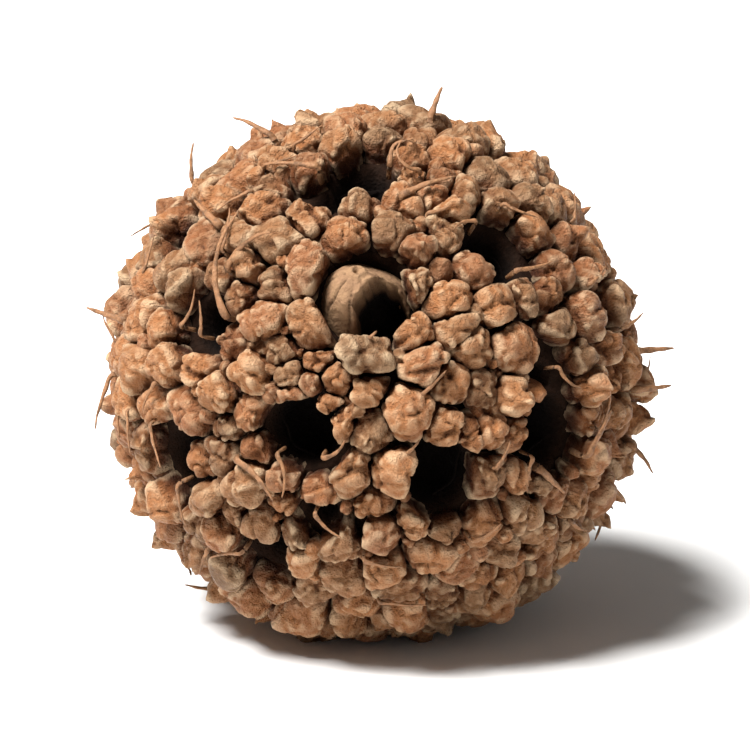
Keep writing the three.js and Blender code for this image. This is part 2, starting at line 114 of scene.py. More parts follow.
# Nodules, with half of each one's width.
FRONT_NODULES = [
    (-4.2, 13, 1), (-1.5, 13.7, 0.9), (0.6, 13.5, 1), (2.6, 13.5, 1), (4.3, 12.5, 0.9),
    (-6.9, 12.6, 0.8), (-5.4, 12, 0.8), (6.4, 11.5, 1.1), (-7.8, 11, 0.9), (-5.8, 10.6, 0.7),
    (-9.7, 10.5, 0.8), (2.1, 11.2, 0.7), (3.6, 10.9, 0.6), (-1.1, 9.6, 0.85), (1.7, 9.6, 0.6),
    (3.3, 9.9, 0.7), (5.2, 10.2, 0.8), (4.2, 9.1, 0.7), (8.8, 9.7, 0.8), (-3.9, 9, 1), (-6.4, 9.3, 1.1),
    (-8.9, 9.6, 0.9), (-7.5, 8, 0.8), (-5.5, 7.6, 1.1), (-1.5, 7.7, 1.1), (1, 7.9, 1), (2.2, 7, 1),
    (4.1, 7.7, 0.9), (9, 8.2, 1.1), (11.2, 7.5, 0.9), (12.4, 6.9, 0.8), (-9.7, 7.4, 0.9),
    (-12.4, 6.8, 0.8), (-11, 6.2, 1), (-7.1, 6.1, 0.6), (-5.7, 5, 0.9), (-3.7, 5.6, 1.2),
    (2.1, 5.3, 0.95), (3.6, 5.8, 0.55), (5.6, 6, 1.2), (9.9, 6.4, 0.8), (12, 5.6, 0.9), (-10.9, 4.9, 1),
    (4.1, 4.1, 1.05), (6.8, 4, 1), (8.3, 4.8, 0.7), (9.7, 4.5, 0.8), (-7.7, 4.5, 0.6),
    (-6.2, 3.1, 1.1), (-3.4, 2.8, 1.4), (4.5, 2.7, 0.8), (-12.9, 3, 0.9), (2, 2.2, 0.95),
    (10.5, 2.6, 0.9), (12.1, 3, 0.7), (-8, 1.9, 0.75), (-0.5, 1.4, 1.4), (5.5, 1.5, 0.8),
    (7.9, 1.5, 1.3), (2.7, 0.6, 1), (-5.4, 1.4, 0.8), (13, 1.8, 0.8), (-3.2, 0.8, 0.65),
    (11.4, 0.9, 0.8), (-6.9, 0, 1.1), (-4.8, 0, 0.6), (-9.8, 0.5, 0.8), (-11.6, 0.9, 0.8),
    (-13.2, 0.5, 1), (-3.5, -0.4, 0.5), (-2.2, -0.3, 0.8), (-0.4, -0.8, 0.8), (4.3, -0.5, 1),
    (6, -0.8, 0.8), (7.6, -1.2, 0.8), (9, -0.9, 0.6), (13.5, -0.2, 0.8), (12, -0.9, 0.7),
    (1.8, -2.1, 1.3), (-0.1, -3, 1), (-1.8, -2.6, 0.6), (-2.6, -1.6, 0.5), (-4.6, -1.3, 0.6),
    (-7, -1.9, 0.9), (-8.7, -1.2, 0.9), (-10.4, -1.9, 1), (-12.4, -1.8, 0.9), (3.9, -2.8, 0.9),
    (5.3, -3.2, 0.6), (6.6, -3.1, 0.8), (8.1, -3.5, 1), (12.4, -2.4, 0.8), (-8.5, -3, 0.6),
    (-8.5, -4.5, 0.85), (-9.7, -5.3, 0.7), (-6.7, -4.3, 0.55), (-1.5, -5.4, 1), (1.2, -5.5, 1.2),
    (12.2, -4.6, 0.8), (-13.2, -4.2, 0.9), (9.3, -5.9, 0.7), (-7.1, -5.9, 1.1), (-5.1, -5.9, 0.7),
    (-5.3, -7.2, 0.5), (-3.4, -6.5, 0.7), (-9.3, -6.7, 0.9), (6.1, -6, 1.1), (8.1, -5.3, 0.7),
    (0.4, -7.3, 0.6), (11.2, -6.8, 0.8), (-12.8, -7, 0.7), (-8.1, -7.8, 0.7), (2, -8, 0.6),
    (0.2, -8.9, 1), (-1.9, -9.4, 0.8), (-4.7, -8.8, 0.7), (6, -8.3, 1), (8.4, -7.7, 0.9),
    (4.3, -8.6, 0.5), (-9.9, -8.7, 0.8), (-4.4, -10.2, 0.6), (0.4, -11, 0.8), (3.1, -10.2, 0.9),
    (7, -10, 0.9),
]

# Dried styles: where each one is rooted, then the way it runs (0 to the right, 90 up), how far it
# turns, how steeply it stands up, and its length.
FRONT_SPINES = [
    (-8.4, 8.1, 137, -6, 12, 2.9), (-8, 3.2, 114, -68, 14, 5.9), (-7.9, 5.7, 45, -60, 18, 3.5),
    (-5.6, 13, 128, 0, 45, 2.7), (-3.1, 11.2, 155, 8, 12, 2.6), (-13.7, 3, 166, 0, 45, 2.8),
    (-10, 10.6, 112, 0, 55, 2.2), (1.4, 9.6, 34, -12, 14, 3.2), (-1.5, 0.8, 43, 0, 10, 2.2),
    (-14.4, 0, 265, 0, 25, 3.1), (-14, -1, 308, 8, 12, 2.5), (14.2, 1.3, 5, 0, 65, 2.4),
    (14.2, -0.8, 0, 0, 60, 2.3), (14, -3.8, 335, 0, 55, 2.2), (11.4, -4.4, 75, -10, 15, 2.9),
    (8.9, -5.1, 322, 0, 12, 2.2), (-7.4, -4.5, 345, -50, 15, 3.2), (3, 14, 75, 0, 65, 2.1),
]

# Finer styles that the frame leaves out: they lie low among the nodules.
SMALL_STYLES = [
    (-12.6, 5.4, 60, 30, 10, 2.2), (-10.4, 2.6, 20, 60, 16, 2.4), (-9.3, 2.1, 75, 30, 20, 1.9),
    (-6, 11.3, 330, 20, 10, 2.2), (0.8, 11.4, 80, -330, 30, 4.2), (2.4, 10.9, 205, -170, 28, 2.6),
    (-12.1, -2.6, 300, 20, 14, 2.6), (-13.4, -1.9, 290, 10, 14, 2.4), (-10.6, -5.9, 250, 30, 14, 2.2),
    (-5.2, -4.2, 300, -60, 18, 2.4), (-2.8, -4.4, 20, 60, 12, 1.8), (8.4, -4.4, 250, 30, 14, 1.9),
    (12.2, -2.9, 80, 30, 12, 2.4), (5.2, -8.9, 30, 40, 18, 1.9), (-7.2, -9.6, 200, 40, 14, 2.2),
    (-0.6, -9.9, 340, 30, 12, 2.1), (2.2, -1.3, 42, 6, 6, 2.2), (9.8, 0.4, 300, 70, 18, 1.8),
    (5.4, 8.2, 200, 50, 12, 1.8), (-4.4, 12.4, 20, 30, 20, 2), (10.8, 8.4, 60, 20, 35, 1.6),
    (-14.1, 1.8, 130, 10, 40, 1.9), (12.9, -6.2, 330, 10, 40, 1.7), (-9, -9.4, 235, 10, 35, 1.8),
    (-12.2, 8.6, 150, 20, 35, 1.8), (-6.6, 9.9, 200, 30, 12, 2.2), (2.8, 8.6, 20, 40, 14, 2),
    (6.9, 9.2, 320, 40, 14, 1.9), (7.6, 5.6, 15, 20, 16, 2.2), (11.6, 4.9, 30, 20, 25, 1.7),
    (13.6, 2.6, 20, 10, 45, 1.5), (-11.8, -0.4, 215, 30, 14, 2), (-8.2, 6.7, 80, 30, 14, 2.4),
    (-3.2, -7.4, 300, 40, 14, 1.9), (0.2, -12.2, 350, 10, 10, 2.6), (6.4, -5, 60, 30, 14, 1.8),
    (1.2, -4.4, 30, 40, 12, 1.6), (10.6, -7.9, 320, 30, 16, 1.9),
]

# Shape of the nodules, in mm. A pair holds the least and the most of a draw. An edge or a place is a
# share of a nodule's half width, a tilt is in degrees, a lean is a slope and a tip's angle is in
# radians. Creases and dimples are as deep as a share of the crease depth.
NODULE_DETAIL = 4
CROWN_DETAIL = 1.25
NODULE_HEART = 13.25
NODULE_FLOOR = 11.9
NODULE_PIECES = ("nodules_lower", "nodules_middle", "nodules_upper")
NARROWEST = 0.22
NEAREST_SITES = 48
WIDEST_CELL = 0.5
MOUTH_SIDE = (0.4, 0.85)
CREVICE_SPREAD = (0.2, 1)
TOP_SPREAD = (-0.5, 0.3)
PEAK_LIFT = (0.3, 0.75)
LEVEL_LEAN = 0.22
FACETS = (4, 7)
FACET_JITTER = 0.35
CROWN_TILT = (28, 58)
CROWN_EDGE = (0.3, 0.85)
PEAK_TILT = (34, 56)
PEAK_EDGE = (0, 0.25)
SHARPNESS = (7, 14)
MOST_CREASES = 2
CREASED_WIDTH = 0.7
CREASE_PLACE = (-0.35, 0.35)
CREASE_DEPTH = (0.4, 1)
CREASE_WIDTH = (0.1, 0.2)
CREASE_WANDER = 0.16
MOST_DIMPLES = 2
DIMPLE_HEIGHT = 0.8
DIMPLE_PLACE = (0.2, 0.8)
DIMPLE_DEPTH = (0.3, 0.8)
DIMPLE_WIDTH = (0.16, 0.34)
TIP_HEIGHT = (0.3, 0.85)
TIP_ANGLE = (0.4, 0.65)
TIP_LEAN = 0.55
TIP_FINENESS = 1.4
SHAPING_SEED = 31

# Relief of the dried skin: sizes in mm, rises as shares of the wrinkle depth, and the splits' width
# as a share of the lobes that they part.
SKIN_RISE = 0.5
BROAD_LUMPS = 1.1
BROAD_RISE = 0.7
FINE_LUMPS = 0.24
FINE_RISE = 0.45
LOBE_SIZE = 1.55
SPLIT_WIDTH = 0.1
SPLIT_DROP = 2.8
SPLIT_WANDER = 0.35
BENDS_PER_MM = 1.5
RIDGE_FULL = 0.075
RIDGE_SOFTENING = 0.6

# Small lumps between the nodules: their tops and sides are shares of their width. Their walls stand
# in rings, as (how many, least tilt, most tilt in degrees).
LUMP_DETAIL = 3
LUMP_WIDTH = (0.26, 0.55)
LUMP_RADIUS = (13.2, 14.1)
LUMP_TOP = (0.7, 1.5)
LUMP_SIDE = (0.7, 1.15)
LUMP_RINGS = ((6, -12, 20), (5, 30, 65))
LUMP_ROOT = 1.1
LUMP_WRINKLES = 0.6

# The ground under the nodules, and the cups of the open capsules, in mm. A row of noise holds its
# height, how many lumps there are to a unit, and its seed. A row of waves holds their height, how
# many there are, and how far their ring's phase shifts them. The profile of a cup runs down from
# its rim, as shares of its depth and of the mouth's radius.
CORE_DETAIL = 7
CORE_RADIUS = 12.6
CORE_NOISE = ((0.16, 9, 21), (0.09, 28, 22))
CORE_MARGIN = 1.2
CORE_EDGE = 0.15
CORE_CLEARANCE = 0.6
PIT_FLOOR = 8.3
CHAMBER_RIM = 11.3
CHAMBER_FLOOR = 8.9
CHAMBER_WALL = 0.11
CHAMBER_SIDES = 40
CHAMBER_PROFILE = (
    (0, 0.93), (0.12, 0.95), (0.35, 0.88), (0.6, 0.76), (0.82, 0.55), (0.95, 0.28), (1, 0.04),
)
BOTTOM_SHARE = 0.9
RIM_SIZE = 1.05
RIM_WAVES = ((0.12, 2, 1), (0.06, 5, 2))
RIM_RISE = 0.4
WALL_FURROWS = ((0.035, 11, 1), (0.02, 17, 0))
FURROWS_IN_FULL = 0.25
MOST_PHASE = 6

# A valve: a blade on the rim of a mouth. Heights, its foot, wall and curl are in mm, its spread is in
# radians, and the rest are shares of the mouth's radius or of the blade's own size.
VALVE_STEPS = (12, 8)
VALVE_CHANCE = 0.6
VALVE_JITTER = 0.3
VALVE_SPREAD = (0.3, 0.6)
VALVE_HEIGHT = (0.4, 1)
TALLEST_VALVE = 1.2
VALVE_CURL = (-0.5, 0.1)
CURL_LOSS = 0.3
VALVE_WALL = 0.06
VALVE_THINNING = 0.7
VALVE_FOOT = 12.7
VALVE_SEAT = 0.97
VALVE_LEAN = 0.1
VALVE_TAPER = 0.55
TAPER_POWER = 1.5
VALVE_ROUNDING = 0.6
RIPPLE_HEIGHT = 0.05
RIPPLES = (7, 3)
RAGGED_HEIGHT = 0.1
RAGGED_TEETH = 6

# A shut capsule half, in mm from its seat, towards its mouth and up: a hood with ribs that run out
# from a curl at its top, and a hollow with a raised brim where it is open towards the mouth. A row of
# noise is as above.
BUD_DETAIL = 5
HOOD_SIDES = 8
HOOD_JITTER = 0.2
HOOD_TOP = 0.95
HOOD_ROOT = 1.4
HOOD_SIDE = (0.86, 0.96)
HOOD_REACH = 0.85
HOOD_BREADTH = 0.35
HOOD_SLOPE = 0.45
HOOD_SHARPNESS = 7
HOLLOW_AT = (1.85, -0.9)
HOLLOW_HALF = (1.25, 1.8)
HOLLOW_DEPTH = 3
HOLLOW_FROM = 1.06
HOLLOW_EDGE = 0.16
HOLLOW_NOISE = (0.12, 1.6, 65)
BRIM_AT = 1.1
BRIM_HEIGHT = 0.12
BRIM_WIDTH = 0.09
CURL_AT = (0.25, 0.95)
CURL_RADIUS = 0.32
CURL_HEIGHT = 0.16
CURL_WIDTH = 0.12
EYE_DEPTH = 0.4
EYE_WIDTH = 0.17
RIBS = 11
RIB_DEPTH = 0.2
RIB_WIDTH = 0.16
RIBS_FROM = (0.25, 0.8)
RIB_NOISE = (0.5, 0.9, 64)
RIB_SHADE = 0.4
BUD_SKIN = ((0.05, 2.2, 61), (0.02, 7, 62))

# A style, in mm: its taper, tip and swellings are shares of its width.
FINE_STYLE_WIDTH = 0.25
STYLE_STEPS = 5
STYLE_SIDES = 8
STYLE_FLATNESS = (1.2, 0.8)
STYLE_TAPER = 0.75
STYLE_TAPER_POWER = 1.3
STYLE_TIP = 0.35
STYLE_WAVE = 0.06
WAVES_PER_MM = 1.7
MOST_SHIFT = 50
SWELLING = 0.12
SWELLINGS = 23

# Finer styles behind, as the least and the most of each draw: how far off the mouth's edge they are
# rooted, as a share of a nodule's width, their aim in radians, turn and lift in degrees, length in mm.
FINE_STYLE_ROOT = (0.6, 2)
FINE_STYLE_AIM = (-2, 2)
FINE_STYLE_TURN = (-90, 90)
FINE_STYLE_LIFT = (4, 20)
FINE_STYLE_LENGTH = (1.4, 2.6)

# The stalk's broken end is closed by rings, as shares of its radius and how far each is sunk in mm.
STALK_SIDES = 48
STALK_RINGS = 40
STALK_FURROWS = ((0.05, 9, 1), (0.03, 17, 0), (0.02, 5, 2))
BARK_HEIGHT = 0.04
BARK_AROUND = 3
BARK_ALONG = 1.5
BREAK_LENGTH = 0.6
BREAK_TAPER = 0.04
SPLINTERS = (-0.3, 0.25)
SPLINTER_JITTER = 0.12
BROKEN_END = ((0.82, 0.1), (0.5, 0.35), (0.2, 0.3), (0.03, 0.25))

# Finishes and the stage. A light is its azimuth and elevation in degrees, its distance and size in
# metres, and its watts.
WOOD_IOR = 1.45
TONE_DRIFT = 0.7
SPECK_RELIEF = 0.6
WORLD_STRENGTH = 0.15
KEY_LIGHT = (-57, 62, 0.6, 0.24, 12.5)
FILL_LIGHT = (50, 25, 0.6, 0.5, 0.12)
FLOOR_SIDES = 96
FLOOR_GAP = 0.02


# Numbers and directions


def numbers_from(seed):
    """A repeatable stream of numbers from 0 to 1, the one that the frame draws from."""
    state = seed
    while True:
        state = (state * 1664525 + 1013904223) % 4294967296
        yield state / 4294967296


def unit(vectors):
    """The same vectors, one mm long."""
    return vectors / np.linalg.norm(vectors, axis=-1, keepdims=True)


def direction(azimuth, elevation):
    """A direction from the ball's centre; azimuth 0 faces the viewer."""
    a = math.radians(azimuth)
    e = math.radians(elevation)
    return np.array((math.sin(a) * math.cos(e), -math.cos(a) * math.cos(e), math.sin(e)))


BOTTOM = direction(0, -90)
TOWARDS_VIEWER = direction(0, VIEW_ELEVATION)
VIEW_UP = direction(180, 90 - VIEW_ELEVATION)
STALK = direction(*STALK_AT)


def seen(right, up):
    """The direction of a place on the crowns that shows at these mm."""
    near = math.sqrt(max(0, CROWN_RADIUS**2 - right**2 - up**2))
    return unit(np.array((right, 0, 0)) + up * VIEW_UP + near * TOWARDS_VIEWER)


def spiral(count):
    """Evenly spread directions, along a spiral from the bottom of the ball to the top."""
    turn = math.pi * (3 - math.sqrt(5))
    i = np.arange(count)
    z = (2 * i + 1) / count - 1
    r = np.sqrt(1 - z * z)
    return np.stack((r * np.cos(i * turn), r * np.sin(i * turn), z), axis=1)


def tangents(normal):
    """Two directions within the surface, at right angles to each other."""
    pole = np.array((0, 0, 1.0)) if abs(normal[2]) < 0.9 else np.array((1.0, 0, 0))
    east = unit(np.cross(pole, normal))
    return east, np.cross(normal, east)


def moved(start, heading, distance):
    """The direction at a distance in mm from another one, along a heading within the surface."""
    east, north = tangents(start)
    along = math.cos(heading) * east + math.sin(heading) * north
    angle = distance / FACE_RADIUS
    return math.cos(angle) * start + math.sin(angle) * along


def apart(a, b):
    """How far apart directions lie, in mm over the surface."""
    return FACE_RADIUS * 2 * np.arcsin(np.minimum(1, np.linalg.norm(a - b, axis=-1) / 2))


def turned(vector, axis, angle):
    """The vector turned about an axis by an angle in radians."""
    along = axis * vector.dot(axis)
    return along + (vector - along) * math.cos(angle) + np.cross(axis, vector) * math.sin(angle)


# Where things grow


def fill(places, taken, sizes, enough, grow):
    """Grows a new one at the place with the most room, again and again, until none has enough."""
    room = np.min([apart(places, at) - size for at, size in zip(taken, sizes)], axis=0)
    while True:
        best = int(np.argmax(room))
        if room[best] < enough:
            return
        room = np.minimum(room, apart(places, places[best]) - grow(places[best]))


def place_capsules(draws):
    """Every capsule, as (direction, radius of its mouth or 0, whether it was listed in FRONT_MOUTHS).
    """
    capsules = [(seen(right, up), mouth, True) for right, up, mouth in FRONT_MOUTHS]
    taken = [STALK, BOTTOM] + [at for at, _, _ in capsules]

    def grow(at):
        shut = next(draws) < CLOSED_CHANCE or at.dot(TOWARDS_VIEWER) > 0
        capsules.append((at, 0 if shut else MOUTH + MOUTH_SPREAD * next(draws), False))
        return 0

    fill(spiral(CAPSULE_PLACES), taken, [0] * len(taken), CAPSULE_SPACING, grow)
    return capsules


def place_nodules(capsules, holes, draws):
    """Every nodule, as (direction, half of its width)."""
    nodules = [(seen(right, up), size) for right, up, size in FRONT_NODULES]
    nodules.append((BOTTOM, REST_NODULE))

    def size():
        return NODULE_SIZE + NODULE_SPREAD * (next(draws) - 0.5)

    for at, mouth, in_front in capsules:
        if in_front:
            continue
        radius = mouth + NODULE_SIZE
        count = round(2 * math.pi * radius / RING_SPACING)
        start = next(draws) * 2 * math.pi
        for i in range(count):
            heading = start + (i + RING_JITTER * (next(draws) - 0.5)) * 2 * math.pi / count
            place = moved(at, heading, radius + RING_JITTER * next(draws))
            made = (place, size())
            room = min(apart(place, other) - wide for other, wide in holes + nodules)
            if room > ROOM_IN_RING:
                nodules.append(made)

    def grow(at):
        nodules.append((at, size()))
        return nodules[-1][1]

    taken, sizes = zip(*(holes + nodules))
    fill(spiral(NODULE_PLACES), taken, sizes, ROOM, grow)
    return nodules


def cell(index, points):
    """The corners of a site's cell as directions, in order, and the neighbour past each side."""
    at = unit(points[index])
    east, north = tangents(at)
    across = points - points[index]
    nearest = np.argsort((across**2).sum(axis=1))[1:NEAREST_SITES]
    corners = [np.array(c) * WIDEST_CELL for c in ((-1, -1), (1, -1), (1, 1), (-1, 1))]
    sides = [-1] * len(corners)
    for other in nearest:
        over = across[other]
        past = [u * over.dot(east) + v * over.dot(north) + over.dot(at) for u, v in corners]
        if max(past) <= 0:
            continue
        kept, theirs = [], []
        for k, side in enumerate(sides):
            following = (k + 1) % len(sides)
            here, there = past[k], past[following]
            if here <= 0:
                kept.append(corners[k])
                theirs.append(side)
            if (here <= 0) != (there <= 0):
                kept.append(corners[k] + (corners[following] - corners[k]) * here / (here - there))
                theirs.append(other if here <= 0 else side)
        corners, sides = kept, theirs
    if -1 in sides:
        raise RuntimeError("a cell has no neighbour on one side")
    return [unit(at + u * east + v * north) for u, v in corners], sides


def cells(sites):
    """Scaled sites, each one's neighbours and middle, and the corners where three cells meet."""
    points = np.array([at / math.cos(size / FACE_RADIUS) for at, size in sites])
    neighbours, middles, trios = [], [], []
    for index in range(len(sites)):
        corners, sides = cell(index, points)
        neighbours.append(sides)
        middles.append(unit(np.sum(corners, axis=0)))
        for k, corner in enumerate(corners):
            trio = (index, sides[k - 1], sides[k])
            if index == min(trio):
                trios.append((trio, corner))
    return points, neighbours, np.array(middles), trios


class Growth:
    """Where everything on the ball stands, worked out once."""

    def __init__(self):
        draws = numbers_from(PLACING_SEED)
        self.capsules = place_capsules(draws)
        self.mouths = [(at, mouth) for at, mouth, _ in self.capsules if mouth]
        self.holes = self.mouths + [(STALK, STALK_RADII[0])]
        self.nodules = place_nodules(self.capsules, self.holes, draws)
        self.sites = self.holes + self.nodules
        self.points, self.neighbours, self.middles, self.trios = cells(self.sites)

    def behind(self):
        """The open capsules that weren't listed in FRONT_MOUTHS, away from the rest spot."""
        return [c for c in self.capsules if c[1] and not c[2] and c[0][2] > LOWEST_GROWTH]


# Surfaces


def smooth_noise(points, seed):
    """Value noise from -1 to 1 whose lumps are about one unit wide."""
    corner = np.floor(points).astype(np.int64)
    share = points - corner
    ease = share * share * (3 - 2 * share)
    total = np.zeros(points.shape[:-1])
    for step in itertools.product((0, 1), repeat=3):
        weight = np.prod(np.where(step, ease, 1 - ease), axis=-1)
        total += weight * hashed(corner + step, seed)
    return 2 * total - 1


def hashed(key, seed):
    """A number from 0 to 1 for each whole-numbered place, scattered by large odd multipliers."""
    mixed = key[..., 0] * 73856093 ^ key[..., 1] * 19349663 ^ key[..., 2] * 83492791 ^ seed * 97
    mixed = (mixed & 0xFFFFFF) * 2654435761 & 0xFFFFFFFF
    mixed = ((mixed >> 15) ^ mixed) * 2246822519 & 0xFFFFFFFF
    return (mixed >> 8 & 0xFFFF) / 0xFFFF


def splits(points, seed):
    """From 0 inside cells about one unit wide to 1 where two of them meet."""
    corner = np.floor(points).astype(np.int64)
    nearest = np.full(points.shape[:-1], 9.0)
    second = nearest.copy()
    for step in itertools.product((-1, 0, 1), repeat=3):
        key = corner + step
        spot = key + np.stack([hashed(key, seed + k) for k in range(3)], axis=-1)
        far = ((points - spot) ** 2).sum(axis=-1)
        second = np.minimum(second, np.maximum(nearest, far))
        nearest = np.minimum(nearest, far)
    return np.exp(-(np.sqrt(second) - np.sqrt(nearest)) / SPLIT_WIDTH)


def noise_of(points, *rows):
    """The sum of several noises, each given as its height, its lumps to a unit and its seed."""
    return sum(height * smooth_noise(points * lumps, seed) for height, lumps, seed in rows)


def waves(turns, phase, rows):
    """The sum of several waves round a ring."""
    return sum(height * np.sin(count * turns + shift * phase) for height, count, shift in rows)


def eased_step(value, low, high):
    """From 0 at low to 1 at high, smoothly."""
    share = np.clip((value - low) / (high - low), 0, 1)
    return share * share * (3 - 2 * share)


def swell(distance, width):
    """A rounded rise: 1 at no distance, and next to nothing past twice the width."""
    return np.exp(-((distance / width) ** 2))


def ring(at, sides):
    """Evenly spaced angles about a direction, and the direction straight out from it at each."""
    turns = np.arange(sides) * 2 * math.pi / sides
    east, north = tangents(at)
    return turns, np.cos(turns)[:, None] * east + np.sin(turns)[:, None] * north


def sphere(detail):
    """Directions and triangles of a ball of triangles, and its edges."""
    shape = bmesh.new()
    bmesh.ops.create_icosphere(shape, subdivisions=detail, radius=1)
    shape.verts.index_update()
    directions = np.array([v.co for v in shape.verts])
    triangles = np.array([[v.index for v in face.verts] for face in shape.faces])
    edges = np.array([[v.index for v in edge.verts] for edge in shape.edges])
    shape.free()
    return unit(directions), triangles, edges


def neighbour_mean(values, edges):
    """The mean over each point's neighbours, for several copies of one mesh."""
    sums = np.zeros_like(values)
    counts = np.zeros(values.shape[1])
    for a, b in (edges.T, edges.T[::-1]):
        np.add.at(counts, a, 1)
        for k in range(len(sums)):
            np.add.at(sums[k], a, values[k][b])
    return sums / counts[:, None]


def ridges(points, normals, edges):
    """How far each point stands above its neighbours, from -1 in a crease to 1 on an edge."""
    rise = ((points - neighbour_mean(points, edges)) * normals).sum(axis=-1, keepdims=True)
    around = neighbour_mean(rise, edges)
    softened = (1 - RIDGE_SOFTENING) * rise + RIDGE_SOFTENING * around
    return np.clip(softened[..., 0] / RIDGE_FULL, -1, 1)


def point_normals(points, triangles):
    """Unit normals at the points of several copies of one mesh."""
    a, b, c = (points[:, triangles[:, k]] for k in range(3))
    faces = np.cross(b - a, c - a)
    sums = np.zeros_like(points)
    for k in range(3):
        for i in range(len(points)):
            np.add.at(sums[i], triangles[:, k], faces[i])
    return unit(sums + 1e-12)


def wrinkled(points, triangles, depth):
    """The skin shrunk in wrinkles and split into lobes, as green wood does when it dries."""
    bends = [smooth_noise(points * BENDS_PER_MM + 17 * k, seed=13 + k) for k in range(3)]
    lobes = splits((points + SPLIT_WANDER * np.stack(bends, axis=-1)) / LOBE_SIZE, seed=19)
    rise = SKIN_RISE - SPLIT_DROP * lobes
    rise += BROAD_RISE * smooth_noise(points / BROAD_LUMPS, seed=11)
    rise += FINE_RISE * smooth_noise(points / FINE_LUMPS, seed=12)
    return points + point_normals(points, triangles) * (depth * rise)[..., None]


def height_share(points):
    """From 0 in the crevices to 1 on the crowns."""
    radius = np.linalg.norm(points, axis=-1)
    return np.clip((radius - CREVICE_RADIUS) / (CROWN_RADIUS - CREVICE_RADIUS), 0, 1)


def add_piece(name, points, faces, material, facts):
    """A mesh object from mm about the ball's centre, with a value of each fact at every point."""
    places = (points.reshape(-1, 3) + (0, 0, REST_HEIGHT)) * MM
    places[:, 2] = np.maximum(places[:, 2], 0)
    mesh = bpy.data.meshes.new(name)
    mesh.from_pydata(places, [], faces)
    mesh.update()
    mesh.shade_smooth()
    for fact, values in facts.items():
        layer = mesh.attributes.new(fact, "FLOAT", "POINT")
        layer.data.foreach_set("value", np.ascontiguousarray(values, dtype=np.float32).ravel())
    mesh.materials.append(material)
    piece = bpy.data.objects.new(name, mesh)
    bpy.context.scene.collection.objects.link(piece)
    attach(piece, "root")
    return piece


def copies(triangles, count, points_each):
    """The triangles of so many copies of one mesh, whose points follow one another."""
    return np.concatenate([triangles + k * points_each for k in range(count)])


def joined(parts):
    """Several (points, faces, fact) as one."""
    points, faces, facts = [], [], []
    count = 0
    for some, theirs, fact in parts:
        points.append(some)
        facts.append(fact)
        faces += [tuple(i + count for i in face) for face in theirs]
        count += len(some)
    return np.concatenate(points), faces, np.concatenate(facts)


def skin_of(rings, closed):
    """Points and faces of a skin over rings of points, closed on itself or with a face at each end."""
    rings = np.array(rings)
    count, sides = rings.shape[:2]
    faces = []
    for i in range(count if closed else count - 1):
        for j in range(sides):
            here, there = i * sides, (i + 1) % count * sides
            faces.append((here + j, here + (j + 1) % sides, there + (j + 1) % sides, there + j))
    if not closed:
        faces.append(tuple(range(sides - 1, -1, -1)))
        faces.append(tuple((count - 1) * sides + k for k in range(sides)))
    return rings.reshape(-1, 3), faces


# Nodules


def block_reach(directions, walls, power):
    """How far a block with these (normal, reach) sides goes each way; a high power is sharper."""
    normals = np.array([normal for normal, _ in walls])
    reaches = np.array([reach for _, reach in walls])
    push = np.maximum(directions @ normals.T, 0) / reaches
    return (push**power).sum(axis=1) ** (-1 / power)


def aside(at, turn):
    """The direction within the surface at an angle in radians."""
    east, north = tangents(at)
    return math.cos(turn) * east + math.sin(turn) * north


def side_walls(growth, index, heart, settings, rng):
    """The flat sides of a nodule, one against each of its neighbours."""
    walls = []
    for other in growth.neighbours[index]:
        across = growth.points[other] - growth.points[index]
        wide = np.linalg.norm(across)
        reach = -across.dot(heart) / wide
        if other < len(growth.holes):
            reach *= rng.uniform(*MOUTH_SIDE)
        else:
            reach -= settings.crevice_width / MM * rng.uniform(*CREVICE_SPREAD)
        walls.append((across / wide, max(reach, NARROWEST)))
    return walls


def crown_facets(at, wide, top, peaked, rng):
    """The facets that round a crown: a nearly level one in a ring of steeper ones."""
    tilt_range, edge_range = (PEAK_TILT, PEAK_EDGE) if peaked else (CROWN_TILT, CROWN_EDGE)
    level = at + aside(at, rng.uniform(0, 2 * math.pi)) * rng.uniform(0, LEVEL_LEAN)
    facets = [(unit(level), top)]
    start = rng.uniform(0, 2 * math.pi)
    count = rng.integers(*FACETS, endpoint=True)
    for k in range(count):
        turn = start + (k + rng.uniform(-FACET_JITTER, FACET_JITTER)) * 2 * math.pi / count
        tilt = math.radians(rng.uniform(*tilt_range))
        edge = wide * rng.uniform(*edge_range)
        normal = math.cos(tilt) * at + math.sin(tilt) * aside(at, turn)
        facets.append((normal, top * math.cos(tilt) + edge * math.sin(tilt)))
    return facets


def creases(points, at, wide, top, index, rng):
    """How deep each point of a nodule lies in its creases and dimples, which fade below its middle."""
    depth = np.zeros(len(points))
    most = MOST_CREASES if wide > CREASED_WIDTH else MOST_CREASES - 1
    for _ in range(rng.integers(0, most + 1)):
        across = aside(at, rng.uniform(0, math.pi))
        wander = CREASE_WANDER * smooth_noise(points * 1.3 + 7 * index, seed=5)
        off = np.abs(points @ across - wide * rng.uniform(*CREASE_PLACE) + wander)
        depth += rng.uniform(*CREASE_DEPTH) * np.exp(-off / rng.uniform(*CREASE_WIDTH))
    for _ in range(rng.integers(0, MOST_DIMPLES + 1)):
        sideways = aside(at, rng.uniform(0, 2 * math.pi)) * wide * rng.uniform(*DIMPLE_PLACE)
        far = np.linalg.norm(points - at * top * DIMPLE_HEIGHT - sideways, axis=1)
        depth += rng.uniform(*DIMPLE_DEPTH) * swell(far, rng.uniform(*DIMPLE_WIDTH))
    return depth * np.clip(0.5 + points @ at / top, 0, 1)


def tip(directions, at, rng):
    """How a nodule's sharp tip moves its points: a cone that leans away from the crown's middle."""
    way = unit(at + aside(at, rng.uniform(0, 2 * math.pi)) * rng.uniform(0, TIP_LEAN))
    far = np.arccos(np.clip(directions @ way, -1, 1))
    height = rng.uniform(*TIP_HEIGHT)
    share = np.clip(1 - far / rng.uniform(*TIP_ANGLE), 0, 1)
    return unit(way + at) * (height * share**TIP_FINENESS)[:, None]


